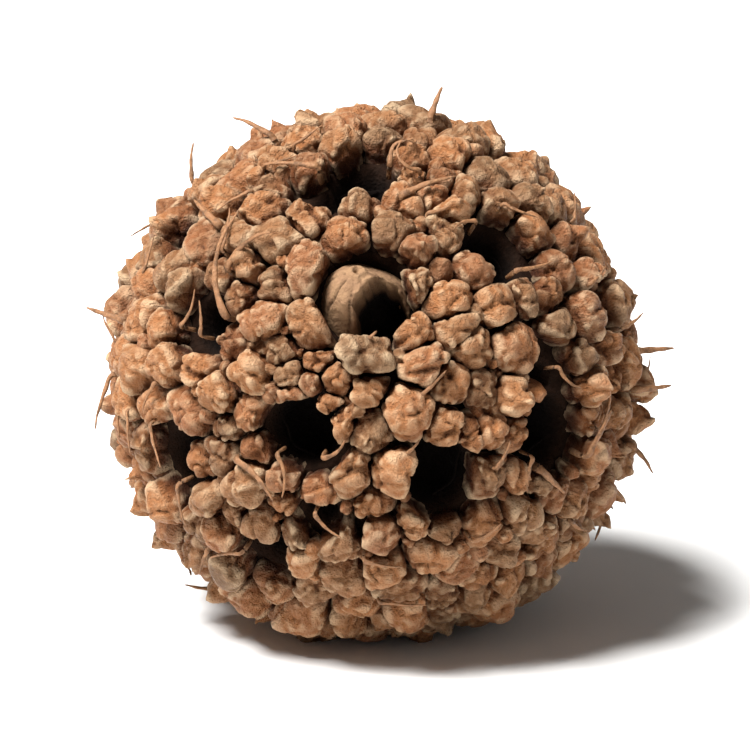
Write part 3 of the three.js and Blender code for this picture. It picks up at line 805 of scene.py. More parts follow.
def nodule(growth, index, directions, settings, rng):
    """One nodule: a block between its neighbours, with a faceted crown, creases and dimples."""
    at = growth.middles[index]
    heart = at * NODULE_HEART
    walls = side_walls(growth, index, heart, settings, rng)
    wide = float(np.mean([reach for _, reach in walls]))
    size = growth.sites[index][1]
    peaked = rng.random() < settings.peaked_share
    top = CROWN_RADIUS - NODULE_HEART + SIZE_LIFT * (size - NODULE_SIZE) + rng.uniform(*TOP_SPREAD)
    top += rng.uniform(*PEAK_LIFT) if peaked else 0
    walls += crown_facets(at, wide, top, peaked, rng)
    walls.append((-at, NODULE_HEART - NODULE_FLOOR))
    points = directions * block_reach(directions, walls, rng.uniform(*SHARPNESS))[:, None]
    depth = settings.crease_depth / MM * creases(points, at, wide, top, index, rng)
    points = points - directions * depth[:, None]
    # The side that the photograph shows is blunt; the sharp tips stand round its outline.
    blunt = math.sqrt(max(0, at.dot(TOWARDS_VIEWER)))
    if rng.random() < settings.tipped_share * (1 - blunt):
        points = points + tip(directions, at, rng)
    return points + heart


def more_detail_on_top(directions, at):
    """Directions drawn towards the crown, where a nodule shows."""
    upright = np.clip(directions @ at, -1, 1)
    drawn = math.pi * (np.arccos(upright) / math.pi) ** CROWN_DETAIL
    across = directions - upright[:, None] * at
    across = across / np.maximum(np.linalg.norm(across, axis=1, keepdims=True), 1e-9)
    return np.cos(drawn)[:, None] * at + np.sin(drawn)[:, None] * across


def facts_of(points, triangles, edges, rng):
    """What the husk's material reads at every point of several lumps."""
    return {
        "height": height_share(points),
        "ridge": ridges(points, point_normals(points, triangles), edges),
        "tone": np.repeat(rng.random((len(points), 1)), points.shape[1], axis=1),
    }


def grow_nodules(growth, settings, finish):
    """All nodules, in three pieces from the bottom of the ball to its top."""
    rng = np.random.default_rng(SHAPING_SEED)
    directions, triangles, edges = sphere(NODULE_DETAIL)
    first = len(growth.holes)
    blocks = []
    for index in range(first, len(growth.sites)):
        drawn = more_detail_on_top(directions, growth.middles[index])
        blocks.append(nodule(growth, index, drawn, settings, rng))
    points = wrinkled(np.array(blocks), triangles, settings.wrinkle_depth / MM)
    facts = facts_of(points, triangles, edges, rng)
    order = np.argsort(growth.middles[first:, 2])
    material = dried_husk(finish)
    pieces = []
    for name, chosen in zip(NODULE_PIECES, np.array_split(order, len(NODULE_PIECES))):
        faces = copies(triangles, len(chosen), points.shape[1])
        theirs = {fact: values[chosen] for fact, values in facts.items()}
        pieces.append(add_piece(name, points[chosen], faces, material, theirs))
    return pieces


def small_lump(corner, directions, rng):
    """A small faceted lump in a corner between three nodules."""
    width = rng.uniform(*LUMP_WIDTH)
    start = rng.uniform(0, 2 * math.pi)
    walls = [(corner, width * rng.uniform(*LUMP_TOP)), (-corner, LUMP_ROOT)]
    for count, least, most in LUMP_RINGS:
        for k in range(count):
            tilt = math.radians(rng.uniform(least, most))
            turn = start + k * 2 * math.pi / count
            normal = math.cos(tilt) * aside(corner, turn) + math.sin(tilt) * corner
            walls.append((normal, width * rng.uniform(*LUMP_SIDE)))
    reach = block_reach(directions, walls, rng.uniform(*SHARPNESS))
    return directions * reach[:, None] + corner * rng.uniform(*LUMP_RADIUS)


def grow_small_lumps(growth, settings, finish):
    """Small lumps in the corners where three nodules meet."""
    rng = np.random.default_rng(SHAPING_SEED + 1)
    directions, triangles, edges = sphere(LUMP_DETAIL)
    first = len(growth.holes)
    corners = [corner for trio, corner in growth.trios if min(trio) >= first]
    chosen = [corner for corner in corners if rng.random() < settings.small_lump_share]
    points = np.array([small_lump(corner, directions, rng) for corner in chosen])
    points = wrinkled(points, triangles, settings.wrinkle_depth / MM * LUMP_WRINKLES)
    faces = copies(triangles, len(points), points.shape[1])
    facts = facts_of(points, triangles, edges, rng)
    return add_piece("small_lumps", points, faces, dried_husk(finish), facts)


# The ground and the open capsules


def grow_ground(growth, finish):
    """The dark ground that the nodules stand on, sunk under each open mouth."""
    directions, triangles, _ = sphere(CORE_DETAIL)
    radius = CORE_RADIUS + noise_of(directions, *CORE_NOISE)
    for at, mouth in growth.mouths:
        inside = 1 - apart(directions, at) / (CORE_MARGIN * mouth)
        floor = max(PIT_FLOOR, MOUTH_EDGE_RADIUS - PIT_DEPTH * mouth - CORE_CLEARANCE)
        radius = radius + (floor - radius) * eased_step(inside, -CORE_EDGE, CORE_EDGE)
    points = directions * radius[:, None]
    facts = {"radius": radius}
    return add_piece("capsule_ground", points, triangles, capsule_lining(finish), facts)


def chamber(at, mouth, rng):
    """A capsule's thin horny wall: a cup that narrows inwards, with fine furrows along it."""
    depth = min(PIT_DEPTH * mouth, CHAMBER_RIM - CHAMBER_FLOOR)
    turns, flat = ring(at, CHAMBER_SIDES)
    phase = rng.uniform(0, MOST_PHASE)
    rim = RIM_SIZE + waves(turns, phase, RIM_WAVES)
    furrow = waves(turns, phase, WALL_FURROWS)
    rings = []
    for wall, profile in ((0, CHAMBER_PROFILE), (CHAMBER_WALL, CHAMBER_PROFILE[::-1])):
        for down, share in profile:
            radius = (share * mouth + wall) * (rim + furrow * min(1, down / FURROWS_IN_FULL))
            lift = CHAMBER_RIM + RIM_RISE * (rim - 1) - down * depth - wall * (down > BOTTOM_SHARE)
            rings.append(at * lift[:, None] + flat * radius[:, None])
    points, faces = skin_of(rings, True)
    return points, faces, np.linalg.norm(points, axis=1)


def grow_chambers(growth, finish):
    """The walls of the open capsules."""
    rng = np.random.default_rng(SHAPING_SEED + 2)
    points, faces, radius = joined([chamber(at, mouth, rng) for at, mouth in growth.mouths])
    facts = {"radius": radius}
    return add_piece("capsule_walls", points, faces, capsule_lining(finish), facts)


def valve(at, mouth, heading, rng):
    """One valve of a mouth: a thin curled blade that stands on the rim."""
    across, along = VALVE_STEPS
    spread = rng.uniform(*VALVE_SPREAD)
    tall = rng.uniform(*VALVE_HEIGHT) * min(1, mouth / MOUTH)
    curl = rng.uniform(*VALVE_CURL)
    ragged = rng.uniform(0, MOST_PHASE)

    def place(side, up, wall):
        """A point of the blade: side goes from -1 to 1 across it, and up from 0 at its foot to 1."""
        turn = heading + side * spread * (1 - VALVE_TAPER * up**TAPER_POWER)
        radius = mouth * (VALVE_SEAT - VALVE_LEAN * up) + wall * (1 - VALVE_THINNING * up)
        radius += curl * up**2 * (1 - CURL_LOSS * side**2)
        radius += RIPPLE_HEIGHT * math.sin(RIPPLES[0] * side + RIPPLES[1] * up + ragged)
        lift = VALVE_FOOT + tall * up * (1 - VALVE_ROUNDING * side**2)
        lift += RAGGED_HEIGHT * up * math.sin(RAGGED_TEETH * side + ragged)
        return moved(at, turn, radius) * lift

    steps = np.arange(along + 1) / along
    rings = []
    for side in 2 * np.arange(across + 1) / across - 1:
        outside = [place(side, up, VALVE_WALL) for up in steps]
        inside = [place(side, up, -VALVE_WALL) for up in steps]
        rings.append(outside + inside[::-1])
    points, faces = skin_of(rings, False)
    height = (np.linalg.norm(points, axis=1) - VALVE_FOOT) / TALLEST_VALVE
    return points, faces, np.clip(height, 0, 1)


def grow_valves(growth, finish):
    """Dried valves, on one side or both of some of the mouths behind."""
    rng = np.random.default_rng(SHAPING_SEED + 3)
    made = []
    for at, mouth, _ in growth.behind():
        heading = rng.uniform(0, 2 * math.pi)
        for side in (heading, heading + math.pi):
            if rng.random() < VALVE_CHANCE:
                made.append(valve(at, mouth, side + rng.uniform(-VALVE_JITTER, VALVE_JITTER), rng))
    points, faces, height = joined(made)
    return add_piece("valve_lips", points, faces, horny_valve(finish), {"height": height})


# Shut capsules, styles and the stalk


def bud(seat, mouth_at, mesh, rng):
    """A capsule half that stayed shut: a ribbed hood, rolled at its top, with painted shade in its
    grooves and where it is open.
    """
    directions, triangles = mesh
    towards = unit(mouth_at - seat * mouth_at.dot(seat))
    upwards = np.cross(seat, towards)
    if upwards.dot(VIEW_UP) < 0:
        upwards = -upwards
    walls = [(seat, BUD_HEIGHT * HOOD_TOP), (-seat, BUD_HEIGHT * HOOD_ROOT)]
    for k in range(HOOD_SIDES):
        turn = (k + rng.uniform(-HOOD_JITTER, HOOD_JITTER)) * 2 * math.pi / HOOD_SIDES
        outward = math.cos(turn) * towards + math.sin(turn) * upwards
        stretch = HOOD_REACH * max(0, math.cos(turn)) + HOOD_BREADTH * abs(math.sin(turn))
        reach = BUD_WIDTH * rng.uniform(*HOOD_SIDE) + stretch
        walls.append((unit(outward + HOOD_SLOPE * seat), reach))
    points = directions * block_reach(directions, walls, HOOD_SHARPNESS)[:, None]
    along, up = points @ towards, points @ upwards
    turn = np.arctan2(along - CURL_AT[0], CURL_AT[1] - up)
    off_curl = np.hypot(along - CURL_AT[0], up - CURL_AT[1])
    groove = np.abs(np.sin(RIBS / 2 * turn + noise_of(points, RIB_NOISE)))
    groove = np.exp(-groove / RIB_WIDTH) * eased_step(off_curl, *RIBS_FROM)
    roll = CURL_HEIGHT * swell(off_curl - CURL_RADIUS, CURL_WIDTH)
    roll -= EYE_DEPTH * swell(off_curl, EYE_WIDTH)
    sideways = (along - HOLLOW_AT[0]) / HOLLOW_HALF[0]
    outside = np.hypot(sideways, (up - HOLLOW_AT[1]) / HOLLOW_HALF[1])
    hollow = HOLLOW_FROM - outside + noise_of(points, HOLLOW_NOISE)
    hollow = eased_step(hollow, 0, HOLLOW_EDGE)
    brim = BRIM_HEIGHT * swell(outside - BRIM_AT, BRIM_WIDTH)
    rise = (roll + brim - RIB_DEPTH * groove) * (points @ seat > 0)
    rise += noise_of(points, *BUD_SKIN)
    points = points + directions * rise[:, None] - seat * (HOLLOW_DEPTH * hollow)[:, None]
    # Painted shade: dark in the hollow and, less, in the rib grooves.
    lit_share = (1 - hollow) * (1 - RIB_SHADE * groove)
    return points + seat * BUD_RADIUS, triangles.tolist(), lit_share


def grow_buds(growth, finish):
    """The shut capsule at the front and those in every fourth mouth behind."""
    rng = np.random.default_rng(SHAPING_SEED + 4)
    mesh = sphere(BUD_DETAIL)[:2]
    front = seen(*FRONT_BUD)
    nearest = min((at for at, _ in growth.mouths), key=lambda at: apart(at, front))
    seats = [(front, nearest)]
    for at, mouth, _ in growth.behind()[::BUD_EVERY]:
        seats.append((moved(at, 0, BUD_OFFSET * mouth), at))
    points, faces, lit_share = joined([bud(seat, at, mesh, rng) for seat, at in seats])
    return add_piece("shut_buds", points, faces, shut_capsule(finish), {"lit_share": lit_share})


def style_route(root, aim, turn, lift, length):
    """The points that a style runs through, as the frame has them."""
    step = length / (SPINE_POINTS - 2)
    point = root * (CROWN_RADIUS - SPINE_ROOT)
    points = [point]
    point = point + root * SPINE_BEND_AT
    way = unit(aim - root * aim.dot(root))
    for i in range(SPINE_POINTS - 1):
        points.append(point)
        up = unit(point)
        way = unit(way - up * way.dot(up))
        stand = math.radians(lift * (1 - SPINE_DROOP * i / SPINE_POINTS))
        point = point + way * step * math.cos(stand) + up * step * math.sin(stand)
        way = turned(way, up, math.radians(turn / (SPINE_POINTS - 2)))
    return np.array(points)


def eased_curve(points, steps):
    """A smooth curve through the points, with so many steps from each to the next."""
    ends = np.concatenate(([2 * points[0] - points[1]], points, [2 * points[-1] - points[-2]]))
    curve = []
    for a, b, c, d in zip(ends, ends[1:], ends[2:], ends[3:]):
        for t in np.arange(steps) / steps:
            slope = (c - a) * t
            bend = (2 * a - 5 * b + 4 * c - d) * t**2
            twist = (3 * b - a - 3 * c + d) * t**3
            curve.append(0.5 * (2 * b + slope + bend + twist))
    curve.append(points[-1])
    return np.array(curve)


def style(route, width, rng):
    """A dried style: a tapered thread, flattened and a little wavy, that ends in a fine tip."""
    curve = eased_curve(route, STYLE_STEPS)
    count = len(curve)
    share = np.arange(count) / (count - 1)
    places = curve * WAVES_PER_MM + rng.uniform(0, MOST_SHIFT)
    wave = STYLE_WAVE * smooth_noise(places, seed=71) * share
    curve = curve + wave[:, None] * unit(curve)
    swelling = 1 + SWELLING * np.sin(share * SWELLINGS + rng.uniform(0, MOST_PHASE))
    radii = width / 2 * (1 - STYLE_TAPER * share**STYLE_TAPER_POWER) * swelling
    radii[-1] *= STYLE_TIP
    turns = np.arange(STYLE_SIDES) * 2 * math.pi / STYLE_SIDES
    rings = []
    for i, place in enumerate(curve):
        along = unit(curve[min(i + 1, count - 1)] - curve[max(i - 1, 0)])
        side = unit(np.cross(along, unit(place)) + 1e-6)
        flat = np.cos(turns)[:, None] * side * STYLE_FLATNESS[0]
        thick = np.sin(turns)[:, None] * np.cross(side, along) * STYLE_FLATNESS[1]
        rings.append(place + (flat + thick) * radii[i])
    points, faces = skin_of(rings, False)
    return points, faces, np.repeat(share, len(turns))


def aim_of(heading):
    """The way a style runs as the viewer sees it: 0 to the right, 90 up."""
    angle = math.radians(heading)
    return math.cos(angle) * np.array((1.0, 0, 0)) + math.sin(angle) * VIEW_UP


def grow_styles(growth, settings, finish):
    """The dried styles of the front and back, and finer ones among them."""
    rng = np.random.default_rng(SHAPING_SEED + 5)
    full_width = settings.style_width / MM
    made = []
    for styles, width in ((FRONT_SPINES, full_width), (SMALL_STYLES, FINE_STYLE_WIDTH)):
        for right, up, heading, turn, lift, length in styles:
            route = style_route(seen(right, up), aim_of(heading), turn, lift, length)
            made.append(style(route, width, rng))
    draws = numbers_from(SPINE_SEED)
    behind = growth.behind()
    for i in range(SPINES_BEHIND):
        at, mouth, _ = behind[i % len(behind)]
        heading = next(draws) * 2 * math.pi
        root = moved(at, heading, mouth + NODULE_SIZE)
        aim = moved(at, heading + 1 + next(draws), mouth + SPINE_REACH) - root
        turn = SPINE_TURN * (next(draws) - 0.5)
        lift = SPINE_LIFT[0] + SPINE_LIFT[1] * next(draws)
        length = SPINE_LENGTH[0] + SPINE_LENGTH[1] * next(draws)
        made.append(style(style_route(root, aim, turn, lift, length), full_width, rng))
    for i in range(settings.fine_styles_behind):
        at, mouth, _ = behind[(3 * i + 1) % len(behind)]
        heading = rng.uniform(0, 2 * math.pi)
        root = moved(at, heading, mouth + NODULE_SIZE * rng.uniform(*FINE_STYLE_ROOT))
        aim = moved(at, heading + rng.uniform(*FINE_STYLE_AIM), mouth + SPINE_REACH) - root
        ranges = (FINE_STYLE_TURN, FINE_STYLE_LIFT, FINE_STYLE_LENGTH)
        route = style_route(root, aim, *(rng.uniform(*given) for given in ranges))
        made.append(style(route, FINE_STYLE_WIDTH, rng))
    points, faces, along = joined(made)
    return add_piece("dried_styles", points, faces, dried_style(finish), {"along": along})


def grow_stalk(finish):
    """The stub of the broken stalk, wrinkled lengthwise, with a splintered end."""
    rng = np.random.default_rng(SHAPING_SEED + 6)
    turns, flat = ring(STALK, STALK_SIDES)
    level = np.zeros(STALK_SIDES)
    furrows = waves(turns, 1, STALK_FURROWS)
    splinters = rng.uniform(*SPLINTERS, STALK_SIDES)
    rings, wood = [], []
    end = STALK_ALONG[-1]
    for length in np.linspace(STALK_ALONG[0], end, STALK_RINGS):
        near_end = max(0, (length - end + BREAK_LENGTH) / BREAK_LENGTH)
        places = np.stack((turns * BARK_AROUND, level + length * BARK_ALONG, level), axis=1)
        radius = np.interp(length, STALK_ALONG, STALK_RADII)
        radius = radius * (1 + furrows - BREAK_TAPER * near_end)
        radius += BARK_HEIGHT * smooth_noise(places, seed=82)
        rings.append(STALK * (length + near_end * splinters)[:, None] + flat * radius[:, None])
        wood.append(0)
    for share, drop in BROKEN_END:
        jitter = rng.uniform(-SPLINTER_JITTER, SPLINTER_JITTER, STALK_SIDES)
        along = end + splinters * share - drop + jitter * share
        radius = STALK_RADII[-1] * share * (1 + furrows)
        rings.append(STALK * along[:, None] + flat * radius[:, None])
        wood.append(1)
    points, faces = skin_of(rings, False)
    facts = {"wood": np.repeat(wood, STALK_SIDES)}
    return add_piece("stalk_stub", points, faces, stalk_bark(finish), facts)


# Materials


def linear(hex_colour):
    """An sRGB hex colour as linear red, green, blue and alpha."""
    values = [int(hex_colour[i : i + 2], 16) / 255 for i in (1, 3, 5)]
    return [v / 12.92 if v <= 0.04045 else ((v + 0.055) / 1.055) ** 2.4 for v in values] + [1.0]


def hex_of(colour):
    """A colour property, which holds sRGB values, as a hex string."""
    return "#" + "".join(f"{round(255 * value):02x}" for value in colour)


def add_node(tree, kind, settings, inputs):
    """A shader node with its settings; an input is linked if it is given a socket, or else set."""
    made = tree.nodes.new(kind)
    for name, value in settings.items():
        setattr(made, name, value)
    for name, value in inputs.items():
        if isinstance(value, bpy.types.NodeSocket):
            tree.links.new(value, made.inputs[name])
        else:
            made.inputs[name].default_value = value
    return made


def start_material(name, specular, sizes_mm, facts):
    """A material with one Principled shader, a noise for each size and the mesh's own values."""
    material = bpy.data.materials.new(name)
    material.use_nodes = True
    tree = material.node_tree
    shader = tree.nodes["Principled BSDF"]
    shader.inputs["IOR"].default_value = WOOD_IOR
    shader.inputs["Specular IOR Level"].default_value = specular
    place = add_node(tree, "ShaderNodeTexCoord", {}, {}).outputs["Object"]
    values = []
    for size in sizes_mm:
        inputs = {"Vector": place, "Scale": 1 / (size * MM), "Detail": 4, "Roughness": 0.6}
        values.append(add_node(tree, "ShaderNodeTexNoise", {}, inputs).outputs["Fac"])
    for fact in facts:
        settings = {"attribute_name": fact}
        values.append(add_node(tree, "ShaderNodeAttribute", settings, {}).outputs["Fac"])
    return material, tree, shader, values


def layered(tree, colour, layers):
    """Colours laid over one another: rows of a value, where it starts and is full, cover and colour."""
    # A Mix node's colour sockets are its inputs 6 and 7 and its output 2: their names aren't unique.
    for value, low, high, most, over in layers:
        inputs = {"Value": value, "From Min": low, "From Max": high, "To Max": most}
        share = add_node(tree, "ShaderNodeMapRange", {"interpolation_type": "SMOOTHSTEP"}, inputs)
        inputs = {0: share.outputs["Result"], 6: colour, 7: linear(over)}
        colour = add_node(tree, "ShaderNodeMix", {"data_type": "RGBA"}, inputs).outputs[2]
    return colour


def surfaced(tree, shader, colour, relief, depth_mm, roughness):
    """Gives the shader its colour, and bump and roughness from one relief: hollows are duller."""
    glossier, duller = roughness
    inputs = {"Value": relief, "From Min": 0.3, "From Max": 0.7}
    inputs |= {"To Min": duller, "To Max": glossier}
    dull = add_node(tree, "ShaderNodeMapRange", {}, inputs)
    bump = add_node(tree, "ShaderNodeBump", {}, {"Distance": depth_mm * MM, "Height": relief})
    tree.links.new(colour, shader.inputs["Base Color"])
    tree.links.new(dull.outputs["Result"], shader.inputs["Roughness"])
    tree.links.new(bump.outputs["Normal"], shader.inputs["Normal"])


# Dried woody husk, shrunk and weathered in the open: matte, with olive and rust-brown nodules side by
# side, ridges lighter partly where they are rubbed and partly as painted highlight, and painted shade
# that darkens the creases and the sides of the nodules to nearly black in the crevices.
def dried_husk(finish):
    name = "sweetgum husk, air-dried"
    if name in bpy.data.materials:
        return bpy.data.materials[name]
    sizes = (1.6, 0.42, 0.13)
    material, tree, shader, values = start_material(name, 0.18, sizes, ("height", "ridge", "tone"))
    mottle, grain, speck, height, ridge, tone = values
    scaled = {"operation": "MULTIPLY_ADD"}
    drift = add_node(tree, "ShaderNodeMath", scaled, {0: mottle, 1: TONE_DRIFT, 2: -TONE_DRIFT / 2})
    shifted = add_node(tree, "ShaderNodeMath", {"operation": "ADD"}, {0: tone, 1: drift.outputs[0]})
    own = add_node(tree, "ShaderNodeValToRGB", {}, {"Fac": shifted.outputs[0]})
    stops = own.color_ramp.elements
    stops[0].color = linear("#6b4e35")
    stops[1].color = linear("#7b5033")
    tan = hex_of(finish.nodule_colour)
    for share, colour in ((0.2, "#7f5839"), (0.45, tan), (0.68, "#98643d"), (0.86, "#8b5938")):
        stops.new(share).color = linear(colour)
    layers = [
        (grain, 0.42, 0.8, 0.45, "#ba9470"),
        (speck, 0.5, 0.75, 0.3, "#5f3a1e"),
        # Painted shade: the sides of the nodules darken towards their feet, to nearly black in the
        # crevices.
        (height, 0.92, 0.35, 0.95, "#65381b"),
        (height, 0.55, 0.15, 1, hex_of(finish.crevice_shade_colour)),
        # Ridges lightened partly as rubbed wear and partly as painted highlight.
        (ridge, 0.05, 1, 0.5, hex_of(finish.worn_and_highlight_colour)),
        # Painted shade darkening the creases.
        (ridge, -0.05, -0.8, 0.8, "#4a2812"),
    ]
    relief = add_node(tree, "ShaderNodeMath", scaled, {0: speck, 1: SPECK_RELIEF, 2: grain})
    colour = layered(tree, own.outputs["Color"], layers)
    surfaced(tree, shader, colour, relief.outputs[0], 0.42, (0.55, 0.85))
    return material


# The horny lining of a capsule, which split open as it dried: dark brown between the nodules, with
# painted shade that makes it nearly black deep inside, and too dusty to shine.
def capsule_lining(finish):
    name = "capsule lining, dried horn"
    if name in bpy.data.materials:
        return bpy.data.materials[name]
    material, tree, shader, values = start_material(name, 0.1, (0.5, 0.2), ("radius",))
    grain, speck, radius = values
    layers = [
        (radius, 11.6, 13, 1, "#1c0f07"),
        (grain, 0.4, 0.7, 0.35, "#26140a"),
        # Painted shade: nearly black deeper inside the pits.
        (radius, 12.4, 11, 1, hex_of(finish.pit_shade_colour)),
    ]
    surfaced(tree, shader, layered(tree, linear("#130a05"), layers), speck, 0.15, (0.8, 0.95))
    return material


# Valves of a capsule, thin and horny, curled as they dried: lighter brown at their free edge, with
# a faint satin look.
def horny_valve(finish):
    name = "capsule valve, dried horn"
    material, tree, shader, values = start_material(name, 0.3, (0.3, 0.12), ("height",))
    streak, speck, height = values
    layers = [
        (height, 0.1, 1, 1, "#9c6e47"),
        (streak, 0.4, 0.7, 0.5, "#54341d"),
        (speck, 0.5, 0.8, 0.3, "#2f1b0e"),
    ]
    surfaced(tree, shader, layered(tree, linear("#3a2213"), layers), speck, 0.05, (0.5, 0.75))
    return material


# Skin of a capsule that stayed shut, dried on the tree: dull olive tan, almost without gloss, with
# painted shade in its rib grooves and, nearly black, inside its open side.
def shut_capsule(finish):
    name = "shut capsule skin, dried"
    material, tree, shader, values = start_material(name, 0.2, (0.9, 0.25), ("lit_share",))
    mottle, grain, lit_share = values
    layers = [
        (mottle, 0.35, 0.7, 0.5, "#987a59"),
        (grain, 0.5, 0.75, 0.45, "#5a4330"),
        # Painted shade in the rib grooves and inside the open side.
        (lit_share, 0.97, 0.65, 0.75, "#463220"),
        (lit_share, 0.5, 0.2, 1, hex_of(finish.pit_shade_colour)),
    ]
    colour = layered(tree, linear(hex_of(finish.bud_colour)), layers)
    surfaced(tree, shader, colour, grain, 0.16, (0.75, 0.9))
    return material


# Dried styles, fibrous threads: tan, darker at the root, with a faint silky look along them.
def dried_style(finish):
    name = "dried style, fibrous"
    material, tree, shader, values = start_material(name, 0.35, (0.5, 0.15), ("along",))
    streak, fibre, along = values
    layers = [
        (along, 0.35, 0, 0.8, "#4f331b"),
        (streak, 0.45, 0.65, 0.7, "#4b321d"),
        (fibre, 0.5, 0.75, 0.45, "#b0875f"),
    ]
    colour = layered(tree, linear(hex_of(finish.style_colour)), layers)
    surfaced(tree, shader, colour, fibre, 0.08, (0.5, 0.7))
    return material


# Bark of the thin stalk, wrinkled as it shrank: reddish brown and dull, with pale fibres at the
# break.
def stalk_bark(finish):
    name = "stalk bark, air-dried"
    material, tree, shader, values = start_material(name, 0.25, (0.8, 0.3), ("wood",))
    mottle, grain, wood = values
    layers = [
        (mottle, 0.35, 0.7, 0.7, "#5a3826"),
        (wood, 0, 1, 1, "#a98257"),
        (grain, 0.5, 0.8, 0.3, "#3b2417"),
    ]
    colour = layered(tree, linear(hex_of(finish.stalk_colour)), layers)
    surfaced(tree, shader, colour, grain, 0.07, (0.7, 0.9))
    return material


# Matte white paper, faintly uneven, as it is pressed.
def pale_paper():
    material, tree, shader, (grain,) = start_material("paper, matte white", 0.1, (6,), ())
    colour = layered(tree, linear("#efeeec"), [(grain, 0.4, 0.7, 0.3, "#ebeae8")])
    surfaced(tree, shader, colour, grain, 0.02, (0.85, 0.95))
    return material


# Settings


def colour_setting(name, description, default):
    """A colour property that holds sRGB values from a hex default."""
    values = tuple(int(default[i : i + 2], 16) / 255 for i in (1, 3, 5))
    kind = {"size": 3, "min": 0, "max": 1, "subtype": "COLOR_GAMMA"}
    return bpy.props.FloatVectorProperty(name=name, description=description, default=values, **kind)


def length_setting(name, description, default):
    """A length property, in metres."""
    return bpy.props.FloatProperty(
        name=name, description=description, default=default, unit="LENGTH", subtype="DISTANCE"
    )


def share_setting(name, description, default):
    """A property that holds a share, from 0 to 1."""
    return bpy.props.FloatProperty(
        name=name, description=description, default=default, min=0, max=1, subtype="FACTOR"
    )


class SeedBallShape(bpy.types.PropertyGroup):
    """Sizes of what grows on the ball."""

    crevice_width: length_setting(
        "Crevice Width", "Most that a nodule stands back from the middle of a crevice", 0.08 * MM
    )
    crease_depth: length_setting(
        "Crease Depth", "Depth of the creases and dimples in a nodule", 0.28 * MM
    )
    wrinkle_depth: length_setting("Wrinkle Depth", "How far the dried skin is wrinkled", 0.095 * MM)
    peaked_share: share_setting(
        "Peaked Nodules", "Share of the nodules whose crown ends in a point", 0.28
    )
    tipped_share: share_setting(
        "Tipped Nodules", "Share of the nodules away from the front that carry a sharp tip", 0.8
    )
    small_lump_share: share_setting(
        "Small Lumps", "Share of the corners between nodules that hold a small lump", 0.3
    )
    style_width: length_setting("Style Width", "Thickness of a dried style at its root", 0.4 * MM)
    fine_styles_behind: bpy.props.IntProperty(
        name="Fine Styles Behind",
        description="How many finer styles stand on the back of the ball",
        default=22,
        min=0,
        max=60,
    )


class SeedBallFinish(bpy.types.PropertyGroup):
    """Colours of the ball."""

    nodule_colour: colour_setting("Nodules", "Tan of an ordinary nodule", "#93623d")
    # Lighter on the ridges: partly rubbed wear, partly painted highlight.
    worn_and_highlight_colour: colour_setting("Worn Edges", "Rubbed edges of the nodules", "#d8bb97")
    # Painted shade at the foot of the nodules, nearly black in the crevices.
    crevice_shade_colour: colour_setting("Crevices", "Foot of the nodules", "#3a1d0d")
    # Painted shade, nearly black, deep in the open capsules and inside the shut ones' open side.
    pit_shade_colour: colour_setting("Pits", "Inside of an open capsule", "#0c0705")
    bud_colour: colour_setting("Shut Buds", "Dull olive tan of a shut capsule", "#7e6047")
    style_colour: colour_setting("Styles", "Tan of a dried style", "#80593a")
    stalk_colour: colour_setting("Stalk", "Reddish brown of the stalk", "#7a4f3a")


class SeedBallStage(bpy.types.PropertyGroup):
    """The stage round the ball."""

    floor_radius: length_setting("Floor Radius", "Radius of the pale floor", 3)
    view_elevation: bpy.props.FloatProperty(
        name="View Elevation",
        description="How far the eye is raised above the horizon",
        default=math.radians(VIEW_ELEVATION),
        unit="ROTATION",
        subtype="ANGLE",
    )
    lens: bpy.props.FloatProperty(
        name="Lens",
        description="Focal length of the camera in mm",
        default=300,
        min=50,
        max=600,
    )
    ball_share: bpy.props.FloatProperty(
        name="Ball Share",
        description="Share of the picture's width that the ball takes",
        default=0.72,
        min=0.2,
        max=1,
        subtype="FACTOR",
    )


# Operators


@functools.cache
def whole_growth():
    """Where everything stands, worked out at its first use."""
    return Growth()


class SEEDBALL_OT_nodules(bpy.types.Operator):
    """Grow the woody nodules, which stand for the frame's seed ball"""

    bl_idname = "seed_ball.nodules"
    bl_label = "Nodules"

    def execute(self, context):
        scene = context.scene
        for piece in grow_nodules(whole_growth(), scene.seed_ball_shape, scene.seed_ball_finish):
            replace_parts(piece, NODE)
        return {"FINISHED"}


class SEEDBALL_OT_small_lumps(bpy.types.Operator):
    """Grow small lumps in the corners between the nodules"""

    bl_idname = "seed_ball.small_lumps"
    bl_label = "Small Lumps"

    def execute(self, context):
        scene = context.scene
        piece = grow_small_lumps(whole_growth(), scene.seed_ball_shape, scene.seed_ball_finish)
        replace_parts(piece, NODE)
        return {"FINISHED"}


class SEEDBALL_OT_capsules(bpy.types.Operator):
    """Grow the ground of the capsules and the walls and valves of the open ones"""

    bl_idname = "seed_ball.capsules"
    bl_label = "Capsules"

    def execute(self, context):
        finish = context.scene.seed_ball_finish
        for grow in (grow_ground, grow_chambers, grow_valves):
            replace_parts(grow(whole_growth(), finish), NODE)
        return {"FINISHED"}


class SEEDBALL_OT_buds(bpy.types.Operator):
    """Grow the capsules that stayed shut in their mouths"""

    bl_idname = "seed_ball.buds"
    bl_label = "Shut Buds"

    def execute(self, context):
        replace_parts(grow_buds(whole_growth(), context.scene.seed_ball_finish), NODE)
        return {"FINISHED"}


class SEEDBALL_OT_styles(bpy.types.Operator):
    """Grow the thin dried styles"""

    bl_idname = "seed_ball.styles"
    bl_label = "Dried Styles"

    def execute(self, context):
        scene = context.scene
        piece = grow_styles(whole_growth(), scene.seed_ball_shape, scene.seed_ball_finish)
        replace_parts(piece, NODE)
        return {"FINISHED"}


class SEEDBALL_OT_stalk(bpy.types.Operator):
    """Grow the stub of the broken stalk"""

    bl_idname = "seed_ball.stalk"
    bl_label = "Stalk Stub"

    def execute(self, context):
        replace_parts(grow_stalk(context.scene.seed_ball_finish), NODE)
        return {"FINISHED"}


